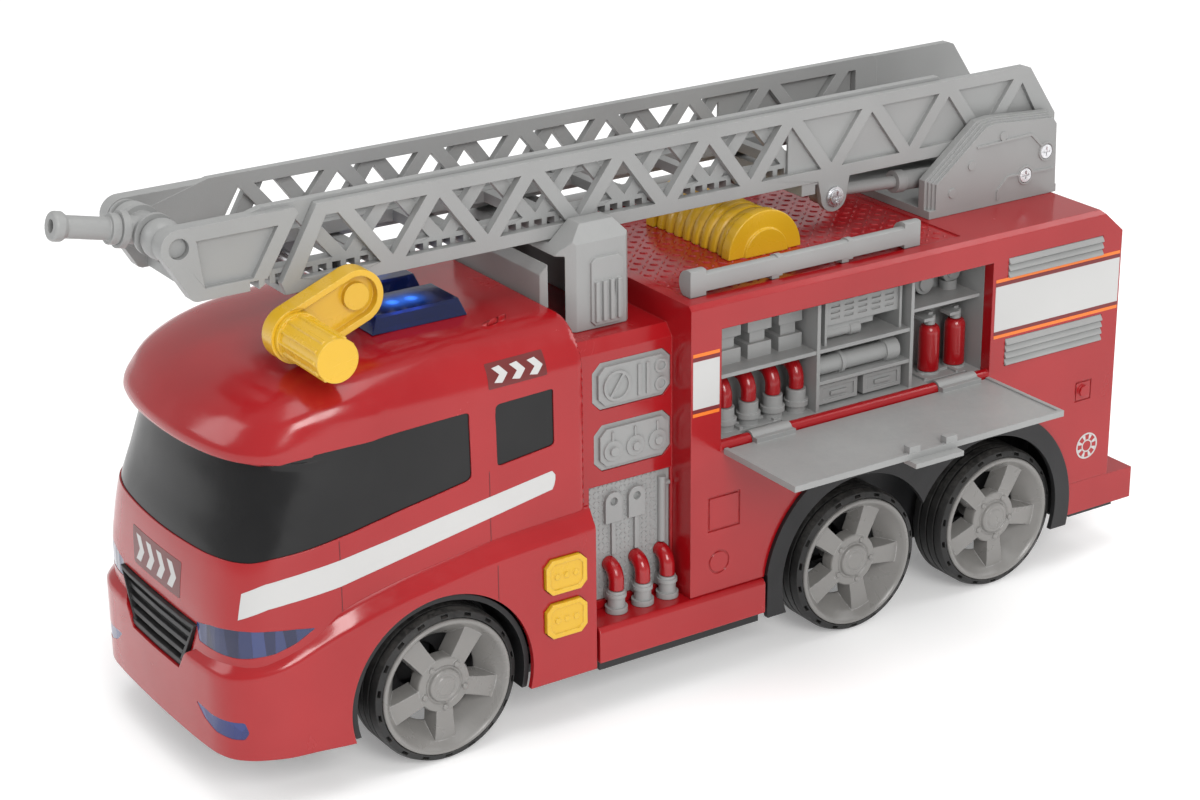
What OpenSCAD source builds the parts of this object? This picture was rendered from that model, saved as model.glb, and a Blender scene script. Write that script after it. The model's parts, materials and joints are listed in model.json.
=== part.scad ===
// Toy fire engine with a tilting, telescoping ladder, opening lockers and six rolling wheels.
// Millimetres. +Z up, ground at z = 0, the cab faces -Y, +X is the engine's left side.

/* [Wheels] */
// tyre outer radius
tyre_r = 27; // [24:0.5:30]
// tyre and wheel width
wheel_w = 18; // [14:0.5:20]
// outer face of the wheels, from the centre plane
wheel_face_x = 56.7; // [54:0.1:58]
// front axle position along Y
axle_front_y = -110.6; // [-116:0.1:-106]
// middle axle position along Y
axle_mid_y = 59.3; // [55:0.1:64]
// rear axle position along Y
axle_rear_y = 125.4; // [120:0.1:130]
// axle radius
axle_r = 2; // [1.5:0.1:2.5]

/* [Body] */
// half width of the equipment body
body_x = 57.7; // [54:0.1:60]
// front wall of the equipment body
body_y0 = -14.6; // [-20:0.1:-10]
// rear wall of the equipment body
body_y1 = 179; // [170:0.5:185]
// roof rim height
roof_z = 139.2; // [134:0.1:144]
// shell wall thickness
wall = 2.2; // [1.6:0.1:3]
// half width of the pump section between cab and body
pump_x = 46.5; // [42:0.1:50]
// top of the pump section
pump_z = 130; // [126:0.1:134]
// bottom edge of the body panels
body_z0 = 33; // [30:0.5:36]

/* [Cab] */
// half width of the cab above its shoulder
cab_x = 55.5; // [52:0.1:57]
// half width of the flared lower cab
flare_x = 59.5; // [58:0.1:61]
// rear wall of the cab
cab_y1 = -55.5; // [-58:0.1:-54]
// cab roof height
cab_z = 141.3; // [138:0.1:144]
// front wheel arch radius
arch_r = 34; // [32:0.5:36]

/* [Lockers] */
// locker opening, front edge along Y
locker_y0 = -2.2; // [-6:0.1:2]
// locker opening, rear edge along Y
locker_y1 = 117; // [112:0.1:120]
// locker opening, top edge
locker_z1 = 129.1; // [126:0.1:132]
// locker door hinge height
hinge_z = 86; // [84:0.1:88]
// locker door hinge distance from the centre plane
hinge_x = 55.8; // [54:0.1:57]
// locker door height when closed
door_h = 42.4; // [38:0.1:42.6]

/* [Ladder] */
// half width of the outer ladder
ladder_x = 23.2; // [21:0.1:25]
// underside of the outer ladder
ladder_z0 = 159.8; // [158:0.1:161]
// top of the outer ladder
ladder_z1 = 187.4; // [184:0.1:189]
// lift pivot along Y
pivot_y = 164.7; // [160:0.1:168]
// lift pivot height
pivot_z = 155.7; // [153:0.1:158]
// strut foot pivot along Y
foot_y = 155; // [150:0.1:158]
// strut foot pivot height
foot_z = 148.2; // [146:0.1:150]
// strut head pivot along Y
lug_y = 71.2; // [66:0.1:76]
// strut head pivot height
lug_z = 153.3; // [152:0.1:155]
// pitch of the rack slots
rack_pitch = 5; // [4.5:0.1:5.5]
// crank axis along Y, on a rack slot
crank_y = -125; // [-130:1:-120]
// crank axis height
crank_z = 158; // [156:0.1:159]
// crank arm centre distance
crank_len = 23.1; // [20:0.1:25]
// crank arm slope below horizontal, degrees
crank_slope = 21.6; // [10:0.1:30]

/* [Hidden] */
$fn = 64;
axle_z = tyre_r;
axles_y = [axle_front_y, axle_mid_y, axle_rear_y];
wheel_x0 = wheel_face_x - wheel_w;     // inner face of the wheels
arch_front_y = axle_front_y - 2.2;     // centre of the front wheel arch
rail_t = 3;                            // thickness of an outer ladder side
inner_x = ladder_x - rail_t - 0.3;     // half width of the inner ladder
strut_len = sqrt(pow(foot_y - lug_y, 2) + pow(lug_z - foot_z, 2));
strut_slope = atan2(lug_z - foot_z, foot_y - lug_y);
strut_x = 16.6;                        // strut centre line
knob_y = crank_y - crank_len * cos(crank_slope);
knob_z = crank_z - crank_len * sin(crank_slope);
monitor_y = -179.4;                    // water monitor axis at the ladder tip
monitor_z = 181.2;
monitor_tilt = -13;
red = [0.75, 0.05, 0.08];
grey = [0.62, 0.63, 0.64];
dark = [0.13, 0.13, 0.14];
yellow = [0.96, 0.76, 0.12];
blue = [0.12, 0.2, 0.62];
steel = [0.75, 0.75, 0.77];

// sub-part to show, or all

// ---------- helpers ----------
// the children and their mirror image across the centre plane
module both_sides() {
  children();
  mirror([1, 0, 0]) children();
}
module block(x0, x1, y0, y1, z0, z1) translate([x0, y0, z0]) cube([x1 - x0, y1 - y0, z1 - z0]);
// cylinders along each axis, from start to end, centred on the other two coordinates
module rod_x(x0, x1, y, z, r) translate([x0, y, z]) rotate([0, 90, 0]) cylinder(h = x1 - x0, r = r);
module rod_y(x, z, y0, y1, r) translate([x, y0, z]) rotate([-90, 0, 0]) cylinder(h = y1 - y0, r = r);
module rod_z(x, y, z0, z1, r) translate([x, y, z0]) cylinder(h = z1 - z0, r = r);
// outline in (y, z) pushed along X
module extrude_x(x0, x1) translate([x0, 0, 0]) rotate([90, 0, 90]) linear_extrude(x1 - x0) children();
// outline in (x, z) pushed along Y
module extrude_y(y0, y1) translate([0, y1, 0]) rotate([90, 0, 0]) linear_extrude(y1 - y0) children();
// half outline on the +X side, closed by its mirror image
function mirrored(half) = concat(half, [for (k = [len(half) - 1:-1:1]) [-half[k][0], half[k][1]]]);
// outline moved by an offset; columns: two coordinates, then the share of the offset for each
function shifted(table, offset) =
  [for (row = table) [row[0] + offset * row[2], row[1] + offset * row[3]]];
// bar of a given width between two points
module bar(start, end, width)
  let (step = end - start)
  translate(start) rotate(atan2(step[1], step[0])) translate([0, -width / 2])
    square([norm(step), width]);
// rectangle with cut corners
module cut_rect(y0, y1, z0, z1, cut) polygon([[y0 + cut, z0], [y1 - cut, z0], [y1, z0 + cut],
  [y1, z1 - cut], [y1 - cut, z1], [y0 + cut, z1], [y0, z1 - cut], [y0, z0 + cut]]);
module ring(outer_r, inner_r) difference() {
  circle(outer_r);
  circle(inner_r);
}
// rectangular line of width t
module frame(x, y, width, height, t) difference() {
  translate([x, y]) square([width, height]);
  translate([x + t, y + t]) square([width - 2 * t, height - 2 * t]);
}

// ---------- cab outlines ----------
// side outline; columns: y, z, inset share in y, inset share in z
cab_side = [[-185.2, 46, 1, 0], [-185.2, 66, 1, 0], [-184.6, 76, 1, 0], [-183.6, 83.5, 1, 0],
  [-174.8, 113.8, 1, 0], [-181.4, 115.2, 1, 1 / 3], [-182.2, 117.4, 1, 0],
  [-180, 122.6, 1, -1 / 3], [-175.6, 127.6, 1, -1 / 2], [-169, 131.8, 0.8, -0.7],
  [-160, 135.6, 0.5, -1], [-150, 138, 0.3, -1], [-140, 139.6, 0, -1], [-128, 140.8, 0, -1],
  [-115, cab_z, 0, -1], [cab_y1, cab_z, -1, -1], [cab_y1, 46, -1, 0]];
// half outline seen from the front; columns: x, z, inset share in x, inset share in z
cab_front = [[0, 44, 0, 0], [cab_x, 44, -1, 0], [cab_x, 124, -1, 0], [cab_x - 0.3, 128.5, -1, 0],
  [cab_x - 1.6, 132, -1, -0.3], [cab_x - 3.8, 135.2, -0.8, -0.6], [cab_x - 7, 138, -0.6, -0.8],
  [cab_x - 11.5, 140.2, -0.3, -1], [cab_x - 17, cab_z, 0, -1], [0, cab_z, 0, -1]];
// half plan of the upper cab; columns: x, y, inset share in x, inset share in y
cab_plan_half = [[0, -185.4, 0, 1], [20, -185.1, 0, 1], [34, -184.2, 0, 1], [42, -182.4, -0.3, 1],
  [47, -179.6, -0.6, 0.8], [50.6, -175.6, -0.8, 0.6], [53, -170, -0.9, 0.4], [54.6, -163, -1, 0],
  [cab_x, -153, -1, 0], [cab_x, cab_y1, -1, -1], [0, cab_y1, 0, -1]];
// half plan of the lower cab; columns as above
lower_plan_half = [[0, -187.4, 0, 1], [20, -187.1, 0, 1], [40.6, -185.6, -0.3, 1],
  [46.5, -183.2, -0.6, 0.8], [50.6, -179.2, -0.8, 0.6], [53.6, -174, -0.9, 0.4],
  [55.9, -168, -1, 0.2], [57.4, -158, -1, 0], [59, -149, -1, 0], [flare_x, -144, -1, 0],
  [flare_x, -54, -1, -0.01], [0, -54, 0, -0.01]];
// side outline of the lower cab; columns: y, z, rise share in y, rise share in z
lower_side = [[-195, 47.3, 0, 1], [-175, 49.2, 0, 1], [-164, 52.1, 0, 1], [-148.6, 58.7, 0, 1],
  [-130, 63.4, 0, 1], [-110, 66.6, 0, 1], [-92, 69, 0, 1], [-50, 71.4, 0, 1],
  [-50, 18.6, 0, 0], [-195, 18.6, 0, 0]];

module cab_plan(inset) polygon(mirrored(shifted(cab_plan_half, inset)));
module lower_plan(inset) polygon(mirrored(shifted(lower_plan_half, inset)));
module cab_solid(inset) intersection() {
  extrude_x(-60, 60) polygon(shifted(cab_side, inset));
  extrude_y(-190, cab_y1 - inset) polygon(mirrored(shifted(cab_front, inset)));
  translate([0, 0, 40]) linear_extrude(110) cab_plan(inset);
}
// windscreen with the front side windows, then the rear side windows
module glass_zone() {
  extrude_x(-60, 60) polygon([[-98.2, 97.3], [-98.2, 120.7], [-130, 120], [-160, 118.4],
    [-200, 113.4], [-200, 84.2], [-181, 84.6], [-168, 86], [-146.7, 89.4], [-120, 94]]);
  extrude_x(-60, 60) polygon([[-89, 99.4], [-89, 121.2], [-67.3, 121.9], [-67.3, 101.9]]);
}
module headlamp_zone() intersection() {
  extrude_x(-60, 60) polygon([[-200, 53.6], [-180, 53.6], [-170, 55], [-162, 57.6],
    [-156.6, 60.9], [-170, 62.2], [-182, 62.6], [-200, 60.4]]);
  both_sides() block(28.6, 60, -200, -150, 50, 66);
}
module grille_zone(grow) extrude_y(-195, -170) polygon([[-17.5 - grow, 40 - grow],
  [17.5 + grow, 40 - grow], [28 + grow, 58.6 + grow], [-28 - grow, 58.6 + grow]]);
module fog_zone() both_sides() extrude_y(-195, -165) polygon([[29.5, 32.6], [34, 28.4],
  [41, 26.2], [51, 26.2], [52, 28], [51, 32.2], [42, 31.6], [35, 32]]);

// ---------- wheels ----------
// drawn about the X axis, inner face at x = 0; profile columns: radius, x
rim_profile = [[20.6, 0], [22, 0], [22, 16.9], [23.9, 16.9], [23.9, 18], [23, 18.3],
  [21.6, 17.4], [20.6, 15]];
tyre_profile = [[22.05, 0.6], [25, 0.3], [26.4, 1.2], [tyre_r, 2.6], [tyre_r, 15],
  [26.3, 16.9], [24.4, 17.7], [24, 17.2], [24, 16.8], [22.05, 16.8]];
module rim() difference() {
  union() {
    rotate([0, 90, 0]) rotate_extrude() polygon(rim_profile);
    // hub
    rod_x(-5.4, 13.2, 0, 0, 4.6);
    rod_x(12.2, 15.8, 0, 0, 9.7);
    rod_x(15.8, 17, 0, 0, 6);
    // five spokes with a stud between each pair
    for (k = [0:4]) rotate([k * 72, 0, 0]) {
      extrude_x(12.6, 15.4)
        polygon([[-3.3, 8], [3.3, 8], [3.7, 15], [4.9, 21], [-4.9, 21], [-3.7, 15]]);
      rotate([36, 0, 0]) rod_x(15.7, 16.5, 0, 7.9, 0.9);
    }
  }
  rod_x(-6, 12, 0, 0, axle_r + 0.03);
}
module tyre() difference() {
  rotate([0, 90, 0]) rotate_extrude() polygon(tyre_profile);
  // notches in the outer face and the inner edge
  for (k = [0:17]) rotate([k * 20, 0, 0]) {
    block(15.4, 18.2, -1.3, 1.3, 24.9, 25.9);
    block(-0.2, 2, -1.3, 1.3, 25.6, 28);
  }
  // tread grooves
  for (k = [0:2]) rotate([0, 90, 0]) translate([0, 0, 5 + k * 4]) rotate_extrude()
    polygon([[26.1, 0], [28, 0], [28, 0.9], [26.1, 0.9]]);
}
module wheel_pair(y) translate([0, y, axle_z]) both_sides() translate([wheel_x0, 0, 0]) children();
module axle(y) color(steel) rod_x(-50.4, 50.4, y, axle_z, axle_r);

module axle_front() axle(axle_front_y);
module axle_mid() axle(axle_mid_y);
module axle_rear() axle(axle_rear_y);
module rims_front() color(grey) wheel_pair(axle_front_y) rim();
module rims_mid() color(grey) wheel_pair(axle_mid_y) rim();
module rims_rear() color(grey) wheel_pair(axle_rear_y) rim();
module tyres_front() color(dark) wheel_pair(axle_front_y) tyre();
module tyres_mid() color(dark) wheel_pair(axle_mid_y) tyre();
module tyres_rear() color(dark) wheel_pair(axle_rear_y) tyre();

// ---------- chassis ----------
pan_z0 = 17;
pan_z1 = 20;
body_posts = [[29.5, 4], [29.5, 166]];  // screw posts (x, y), one on each side
cab_posts = [[40, -66], [33, -172]];
posts = concat(body_posts, cab_posts);
board_hole_x = [-22, 22];
board_hole_y = [-96, -62];
battery_x = [-14.6, 0, 14.6];
battery_z = 27.2;
module chassis() color(dark) difference() {
  union() {
    // floor pan
    block(-35, 35, -178, 186, pan_z0, pan_z1);
    block(-46, 46, -178, -150, pan_z0, pan_z1);
    block(-58.4, 58.4, -52.5, 14, pan_z0, 19.9);
    block(-54, 54, 164, 186, pan_z0, 19.9);
    both_sides() block(30, 46, -73, -59, pan_z0, pan_z1);
    // axle bearings
    for (y = axles_y) both_sides() block(22, 32.6, y - 7, y + 7, pan_z1, 33.5);
    // front arch liners
    both_sides() intersection() {
      extrude_x(34, 57) translate([arch_front_y, axle_z]) ring(arch_r - 0.8, arch_r - 2.6);
      block(30, 58, -160, -60, 18.7, 70);
    }
    both_sides() extrude_x(34, 36) difference() {
      translate([arch_front_y, axle_z]) intersection() {
        circle(arch_r - 0.8);
        translate([-40, -9]) square([80, 60]);
      }
      translate([axle_front_y, axle_z]) circle(8);
    }
    // rear arch liners
    both_sides() extrude_x(34, 36) difference() {
      translate([10, 18]) square([150, 46]);
      for (y = [axle_mid_y, axle_rear_y]) translate([y, axle_z]) circle(8);
    }
    both_sides() block(34, 49.8, 16, 158, 64, 65.8);
    both_sides() block(34, 49.8, 14.5, 16.3, 18, 65.8);
    both_sides() block(34, 49.8, 158, 159.8, 18, 65.8);
    // battery box walls
    difference() {
      block(-24, 24, -40, 22, 19.9, 40);
      block(-22.2, 22.2, -38.2, 20.2, 15, 41);
    }
    for (p = posts) both_sides() rod_z(p[0], p[1], 19.9, 24, 4.4);
    // circuit board pillars
    for (x = board_hole_x, y = board_hole_y) {
      rod_z(x, y, 19.9, 43.95, 2.6);
      rod_z(x, y, 43.9, 46.6, 1.2);
    }
    // long ribs on the pan
    both_sides() block(14, 16, 30, 178.9, pan_z1, 23);
  }
  for (y = axles_y) rod_x(-70, 70, y, axle_z, axle_r + 0.05);
  for (p = posts) both_sides() {
    rod_z(p[0], p[1], 16, 25, 1.6);
    rod_z(p[0], p[1], 16, 19, 3.3);
  }
  // battery door and switch openings
  block(-20.2, 20.2, -36.2, 18.2, 16, 21);
  block(-7.2, 7.2, -92.2, -83.8, 16, 21);
  // speaker holes
  for (y = [-150:6:-132], x = [-12:6:12]) rod_z(x, y, 16, 21, 1.2);
  rod_z(0, -43, 16, 21, 1.2);
  both_sides() block(44.9, 60, 14.2, 17, 19.95, 33.3);
}
module chassis_screws() color(steel)
  for (p = posts) both_sides() translate([p[0], p[1], 17.2]) difference() {
    union() {
      cylinder(h = 1.8, r = 3.1);
      cylinder(h = 14, r = 1.5);
    }
    // cross slot
    translate([-2, -0.35, -1]) cube([4, 0.7, 1.6]);
    translate([-0.35, -2, -1]) cube([0.7, 4, 1.6]);
  }
module battery_door() color(dark) difference() {
  union() {
    block(-20, 20, -36, 18, 17.2, 19.2);
    // hooked tongue at the front edge
    block(-6, 6, -37.9, -35.9, 20.2, 21.2);
    block(-6, 6, -36.1, -35, 18, 21.2);
  }
  for (k = [0:5]) block(-12, 12, -20 + k * 5, -18.4 + k * 5, 16, 17.7);
  rod_z(0, 14, 16, 20, 1.3);
}
module batteries() color([0.25, 0.3, 0.35]) for (x = battery_x) {
  rod_y(x, battery_z, -33, 15.6, 7);
  rod_y(x, battery_z, 15.6, 16.7, 2.6);
}
module battery_contacts() color(steel) for (x = battery_x) {
  block(x - 4, x + 4, 19.3, 20.1, 21.5, 34);
  block(x - 4, x + 4, -38.1, -37.3, 21.5, 34);
  // spring drawn as four narrowing rings
  translate([x, -37.3, battery_z]) for (k = [0:3]) translate([0, k * 1.05, 0])
    rotate([-90, 0, 0]) rotate_extrude() translate([3.6 - k * 0.4, 0.4]) circle(0.4, $fn = 16);
}
module circuit_board() color([0.1, 0.4, 0.2]) {
  board_z1 = 45.6;
  difference() {
    block(-26, 26, -100, -58, 44, board_z1);
    for (x = board_hole_x, y = board_hole_y) rod_z(x, y, 43, 47, 1.3);
  }
  block(-6, 6, -88, -76, board_z1, 47.2);
  for (k = [0:2]) rod_z(14, -90 + k * 10, board_z1, 51, 2.6);
  block(-20, -14, -92, -70, board_z1, 48);
}
module speaker() color([0.2, 0.2, 0.22]) translate([0, -141, 20.1]) {
  difference() {
    cylinder(h = 4, r = 14);
    translate([0, 0, -1]) cylinder(h = 3.6, r = 12.2);
  }
  rotate_extrude() polygon([[0, 1.2], [4, 1.2], [12.2, 0.3], [12.2, 1], [4, 2.2], [0, 2.2]]);
  translate([0, 0, 4]) cylinder(h = 5, r = 8);
}
module power_switch() color(dark) {
  block(-3, 3, -91.5, -84.5, 14.8, 17.6);
  block(-6.4, 3.2, -91.9, -84.1, 17.6, 20);
  block(-6.4, 3.2, -94.5, -81.5, 21.1, 22.6);
  block(-4, 1, -91, -85, 20, 21.1);
}
// under the beacons, and behind the headlamps
module leds() color([0.8, 0.85, 1]) both_sides() {
  rod_z(15, -97, 131, 137, 2.4);
  translate([15, -97, 137]) sphere(2.4);
  rod_y(43, 58, -174, -168, 2.4);
  translate([43, -174, 58]) sphere(2.4);
}

// ---------- equipment body ----------
rear_arch_y = [61, 114.5];  // centres of the rounded ends of the double wheel arch
rear_arch_r = 44.5;
door_knuckles = [[10.7, 27.7], [93, 111.2]];  // y ranges of the hinge held by the door
body_knuckles = [[locker_y0, 10.7], [27.7, 93], [111.2, locker_y1]];
// y0, y1, z0, z1, number of slats
louvre_seats = [[124, 169.6, 121.9, 129.6, 3], [124, 171, 88.4, 98.9, 4]];
shutter_x = 34;
shutter_z0 = 52;
lamp_x = [42, 52];
lamp_z = [48, 76];
// pump panel openings: y0, y1, z0, z1
plate_seats = [[-46.7, -15.2, 105.6, 122.4], [-46.2, -15.2, 83.6, 100.2]];
tool_seat = [-48.4, -15.2, 36, 78.6];
module arch_zone(inset) {
  for (y = rear_arch_y) translate([y, axle_z]) circle(rear_arch_r - inset);
  translate([rear_arch_y[0], axle_z - 20])
    square([rear_arch_y[1] - rear_arch_y[0], 20 + rear_arch_r - inset]);
}
module wheel_zone() {
  translate([57.5, 28.5]) circle(33.6);
  translate([117.5, 28]) circle(34.3);
}
module body_solid(inset) {
  half_x = body_x - inset;
  top_z = roof_z - inset;
  pump_half_x = pump_x - inset;
  intersection() {
    extrude_x(-half_x, half_x) polygon([[body_y0 + inset, body_z0], [body_y1 - inset, body_z0],
      [body_y1 - inset, 130 - inset / 2], [168.6 - inset / 2, top_z], [body_y0 + inset, top_z]]);
    extrude_y(-60, 190) polygon(mirrored([[0, body_z0 - 1], [half_x, body_z0 - 1],
      [half_x, roof_z - 1.6 - inset / 2], [half_x - 1.6, top_z], [0, top_z]]));
  }
  intersection() {
    block(-pump_half_x, pump_half_x, cab_y1 + 0.1 + inset, body_y0 + 4, body_z0, pump_z - inset);
    extrude_y(-60, 10) polygon(mirrored([[0, body_z0], [pump_half_x, body_z0],
      [pump_half_x, pump_z - 4 - inset / 2], [pump_x - 3.4 - inset / 2, pump_z - inset],
      [0, pump_z - inset]]));
  }
}
module body_shell() color(red) difference() {
  in_x = body_x - wall;
  pump_in_x = pump_x - wall;
  union() {
    difference() {
      body_solid(0);
      body_solid(wall);
      // open underside
      block(-in_x, in_x, body_y0 + wall, body_y1 - wall, body_z0 - 1, body_z0 + 2);
      block(-pump_in_x, pump_in_x, cab_y1 + 2.3, body_y0 + 4.2, body_z0 - 1, body_z0 + 2);
      // passage from the pump section to the body
      block(-pump_in_x, pump_in_x, body_y0 - 1, body_y0 + 5, body_z0 - 1, pump_z - wall);
      both_sides() block(50, 60, locker_y0, locker_y1, hinge_z - 1.9, locker_z1);
    }
    // screw posts
    for (p = body_posts) both_sides() difference() {
      rod_z(p[0], p[1], 24.1, roof_z - 1.5, 3.8);
      rod_z(p[0], p[1], 24, 60, 1.55);
    }
    // hinge tubes of the lockers
    both_sides() for (s = body_knuckles) difference() {
      union() {
        rod_y(hinge_x, hinge_z, s[0], s[1], 2.3);
        block(hinge_x - 0.3, body_x, s[0], s[1], hinge_z - 4, hinge_z - 1.4);
      }
      rod_y(hinge_x, hinge_z, s[0] - 1, s[1] + 1, 1.04);
    }
    // frame inside the locker opening
    both_sides() for (s = [[locker_y0 - 1.5, locker_y0 + 0.1], [locker_y1 - 0.1, locker_y1 + 1.5]])
      block(53, body_x - 0.1, s[0], s[1], 81, 130.6);
    both_sides()
      block(53, body_x - 0.1, locker_y0 - 1.5, locker_y1 + 1.5, locker_z1, locker_z1 + 1.5);
    // raised discs on the sides
    both_sides() rod_x(body_x - 0.4, body_x + 1.2, 164, 70, 2.2);
  }
  // lockers
  both_sides() block(50, 60, locker_y0, locker_y1, hinge_z + 2.35, locker_z1);
  both_sides() for (s = door_knuckles) block(50, 60, s[0], s[1], hinge_z - 3.2, hinge_z + 3);
  // wheel openings
  extrude_x(-70, 70) arch_zone(0);
  // pump panels
  both_sides() for (p = plate_seats)
    extrude_x(pump_x - 5, pump_x + 5) cut_rect(p[0], p[1], p[2], p[3], 3.2);
  both_sides()
    block(pump_x - 5, pump_x + 5, tool_seat[0], tool_seat[1], tool_seat[2], tool_seat[3]);
  // louvre seats
  both_sides() for (s = louvre_seats) block(body_x - 1, body_x + 2, s[0], s[1], s[2], s[3]);
  // rear shutter and lamp seats
  block(-shutter_x, shutter_x, body_y1 - 1, body_y1 + 2, shutter_z0, 122);
  both_sides() block(lamp_x[0], lamp_x[1], body_y1 - 1, body_y1 + 2, lamp_z[0], lamp_z[1]);
  // engraved outlines
  both_sides() extrude_x(body_x - 0.5, body_x + 1) {
    frame(-7.4, 56, 13.6, 13, 0.8);
    translate([-2.6, 44]) ring(4.4, 3.7);
    frame(160, 66, 8, 8, 0.7);
  }
  // roof tread recess
  block(-50.6, 50.6, -10, 107, roof_z - 0.5, roof_z + 1);
}
module side_skirts() color(red) both_sides() difference() {
  extrude_y(-53, 16.3) polygon([[45, 20], [59.7, 20], [59.7, 31.4], [58.4, 32.9], [45, 32.9]]);
  block(43, 57.6, -51, 14.6, 19, 30.8);
  extrude_x(40, 70) translate([rear_arch_y[0], axle_z]) circle(rear_arch_r + 0.1);
}
module rear_step() color(red) difference() {
  union() {
    block(-57.5, 57.5, 179.1, 192, 20, 32.4);
    both_sides() block(50, 57.5, 159.7, 179.2, 20, 32.9);
  }
  block(-55.3, 55.3, 181, 189.8, 19, 30.2);
  both_sides() block(48, 55.3, 162, 182, 19, 30.6);
  // grooves across the tread
  for (k = [0:3]) block(-46, 46, 181.4 + k * 2.4, 182.4 + k * 2.4, 32, 33);
}
module arch_trims() color(dark) both_sides() difference() {
  union() {
    // outer plate round the wheels
    extrude_x(57.05, 59.2) difference() {
      arch_zone(0.12);
      wheel_zone();
      translate([0, -40]) square([200, 57.3]);
    }
    // lip inside the arch
    extrude_x(50, 57.1) difference() {
      arch_zone(0.12);
      arch_zone(2.1);
      translate([0, -40]) square([200, 59.6]);
    }
  }
  block(40, 70, 0, 70, 10, 17.1);
  block(49, 60, 0, 17.4, 10, 34);
}
module louvre(y0, y1, z0, z1, count) {
  slat_h = (z1 - z0) / count;
  for (k = [0:count - 1]) let (z = z0 + k * slat_h)
    extrude_y(y0, y1) polygon([[body_x - 0.95, z], [body_x + 0.9, z + 0.3],
      [body_x + 0.9, z + slat_h * 0.35], [body_x - 0.2, z0 + (k + 1) * slat_h],
      [body_x - 0.95, z0 + (k + 1) * slat_h]]);
}
module side_louvres() color(grey) both_sides()
  for (s = louvre_seats) louvre(s[0] + 0.1, s[1] - 0.1, s[2] + 0.1, s[3] - 0.1, s[4]);
module rear_shutter() color(grey) {
  for (k = [0:9]) let (z = shutter_z0 + 0.1 + k * 6.98)
    extrude_x(-shutter_x + 0.1, shutter_x - 0.1) polygon([[body_y1 - 0.95, z],
      [body_y1 + 0.7, z + 0.3], [body_y1 + 0.7, z + 3.9], [body_y1 - 0.1, z + 6.5],
      [body_y1 - 0.95, z + 6.98]]);
  block(-12, 12, body_y1 + 0.6, body_y1 + 2.4, 53.4, 55.4);
}
module tail_lamps() color([0.8, 0.1, 0.08]) both_sides() {
  block(lamp_x[0] + 0.1, lamp_x[1] - 0.1, body_y1 - 0.95, body_y1 + 0.8,
    lamp_z[0] + 0.1, lamp_z[1] - 0.1);
  for (z = [53, 62, 71]) rod_y(47, z, body_y1 + 0.7, body_y1 + 1.6, 3.4);
}

// ---------- cab ----------
// push buttons on the left side
button_y = [-74.5, -58.7];
button_upper_z = [51.2, 63.6];
button_lower_z = [35.2, 47.6];
module button_room(x0, x1) both_sides() block(x0, x1, -76.2, -57, 33.4, 65.2);
module cab_shell() color(red) difference() {
  union() {
    difference() {
      cab_solid(0);
      cab_solid(wall);
      block(-cab_x + wall, cab_x - wall, -183, cab_y1 - wall, 40, 50);
      glass_zone();
      headlamp_zone();
      grille_zone(0.15);
    }
    // screw posts: a short one in the nose, a tall one at the back
    for (p = cab_posts) both_sides() difference() {
      rod_z(p[0], p[1], 24.1, p[1] < -100 ? 46 : 139.5, 3.8);
      rod_z(p[0], p[1], 24, 40, 1.55);
    }
    block(-40, 40, -176, -165, 44, 46.2);
    both_sides() block(30, 37.4, -183.3, -165, 44, 46.2);
  }
  rod_x(-70, 70, arch_front_y, axle_z, arch_r - 0.5);
  // beacon openings
  both_sides() block(5, 24.5, -114.5, -83.5, 132, 145);
  button_room(48, 60);
  // roof outlines and side grooves
  both_sides() translate([0, 0, cab_z - 0.5]) linear_extrude(2) frame(31, -112, 8, 36, 0.7);
  both_sides() block(cab_x - 0.4, cab_x + 1, -92.4, -91.7, 60, 140);
  both_sides() block(cab_x - 0.4, cab_x + 1, -147.3, -146.6, 50, 88.6);
}
module cab_lower() color(red) difference() {
  union() {
    difference() {
      // flared skin whose top edge steps inwards and up
      for (k = [0:3]) intersection() {
        translate([0, 0, 18.6]) linear_extrude(70) lower_plan(k * 1.25);
        extrude_x(-60, 60) polygon(shifted(lower_side, k * 1.9));
      }
      intersection() {
        translate([0, 0, 10]) linear_extrude(36) lower_plan(2.2);
        block(-80, 80, -200, -56.2, 10, 45.8);
      }
      cab_solid(-0.06);
      translate([0, 0, 40]) linear_extrude(60) cab_plan(-0.06);
      block(-57.3, 57.3, -150, -56.2, 10, 60);
      block(-47, 47, -60, -50, 10, 80);
    }
    // rear return flange
    both_sides() block(47, 57.4, -56.2, -54.1, 20.1, 45.9);
    // feet that sit on the chassis pan
    both_sides() block(40, 44, -183, -178.1, 20.1, 24);
  }
  rod_x(-70, 70, arch_front_y, axle_z, arch_r);
  grille_zone(0.15);
  fog_zone();
  // button seats
  button_room(50, 57.3);
  for (z = [button_upper_z, button_lower_z])
    block(50, 70, button_y[0] - 0.2, button_y[1] + 0.2, z[0] - 0.1, z[1] + 0.1);
  both_sides() block(flare_x - 0.4, flare_x + 1, -92.4, -91.7, 58, 80);
}
module cab_windows() color([0.1, 0.1, 0.12]) intersection() {
  difference() {
    cab_solid(0.5);
    cab_solid(wall);
  }
  glass_zone();
}
module headlamps() color(blue) intersection() {
  difference() {
    cab_solid(-0.02);
    cab_solid(wall - 0.4);
  }
  headlamp_zone();
}
module fog_lamps() color(blue) intersection() {
  difference() {
    translate([0, 0, 20]) linear_extrude(20) lower_plan(0.25);
    translate([0, 0, 19]) linear_extrude(22) lower_plan(2);
  }
  fog_zone();
}
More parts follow.
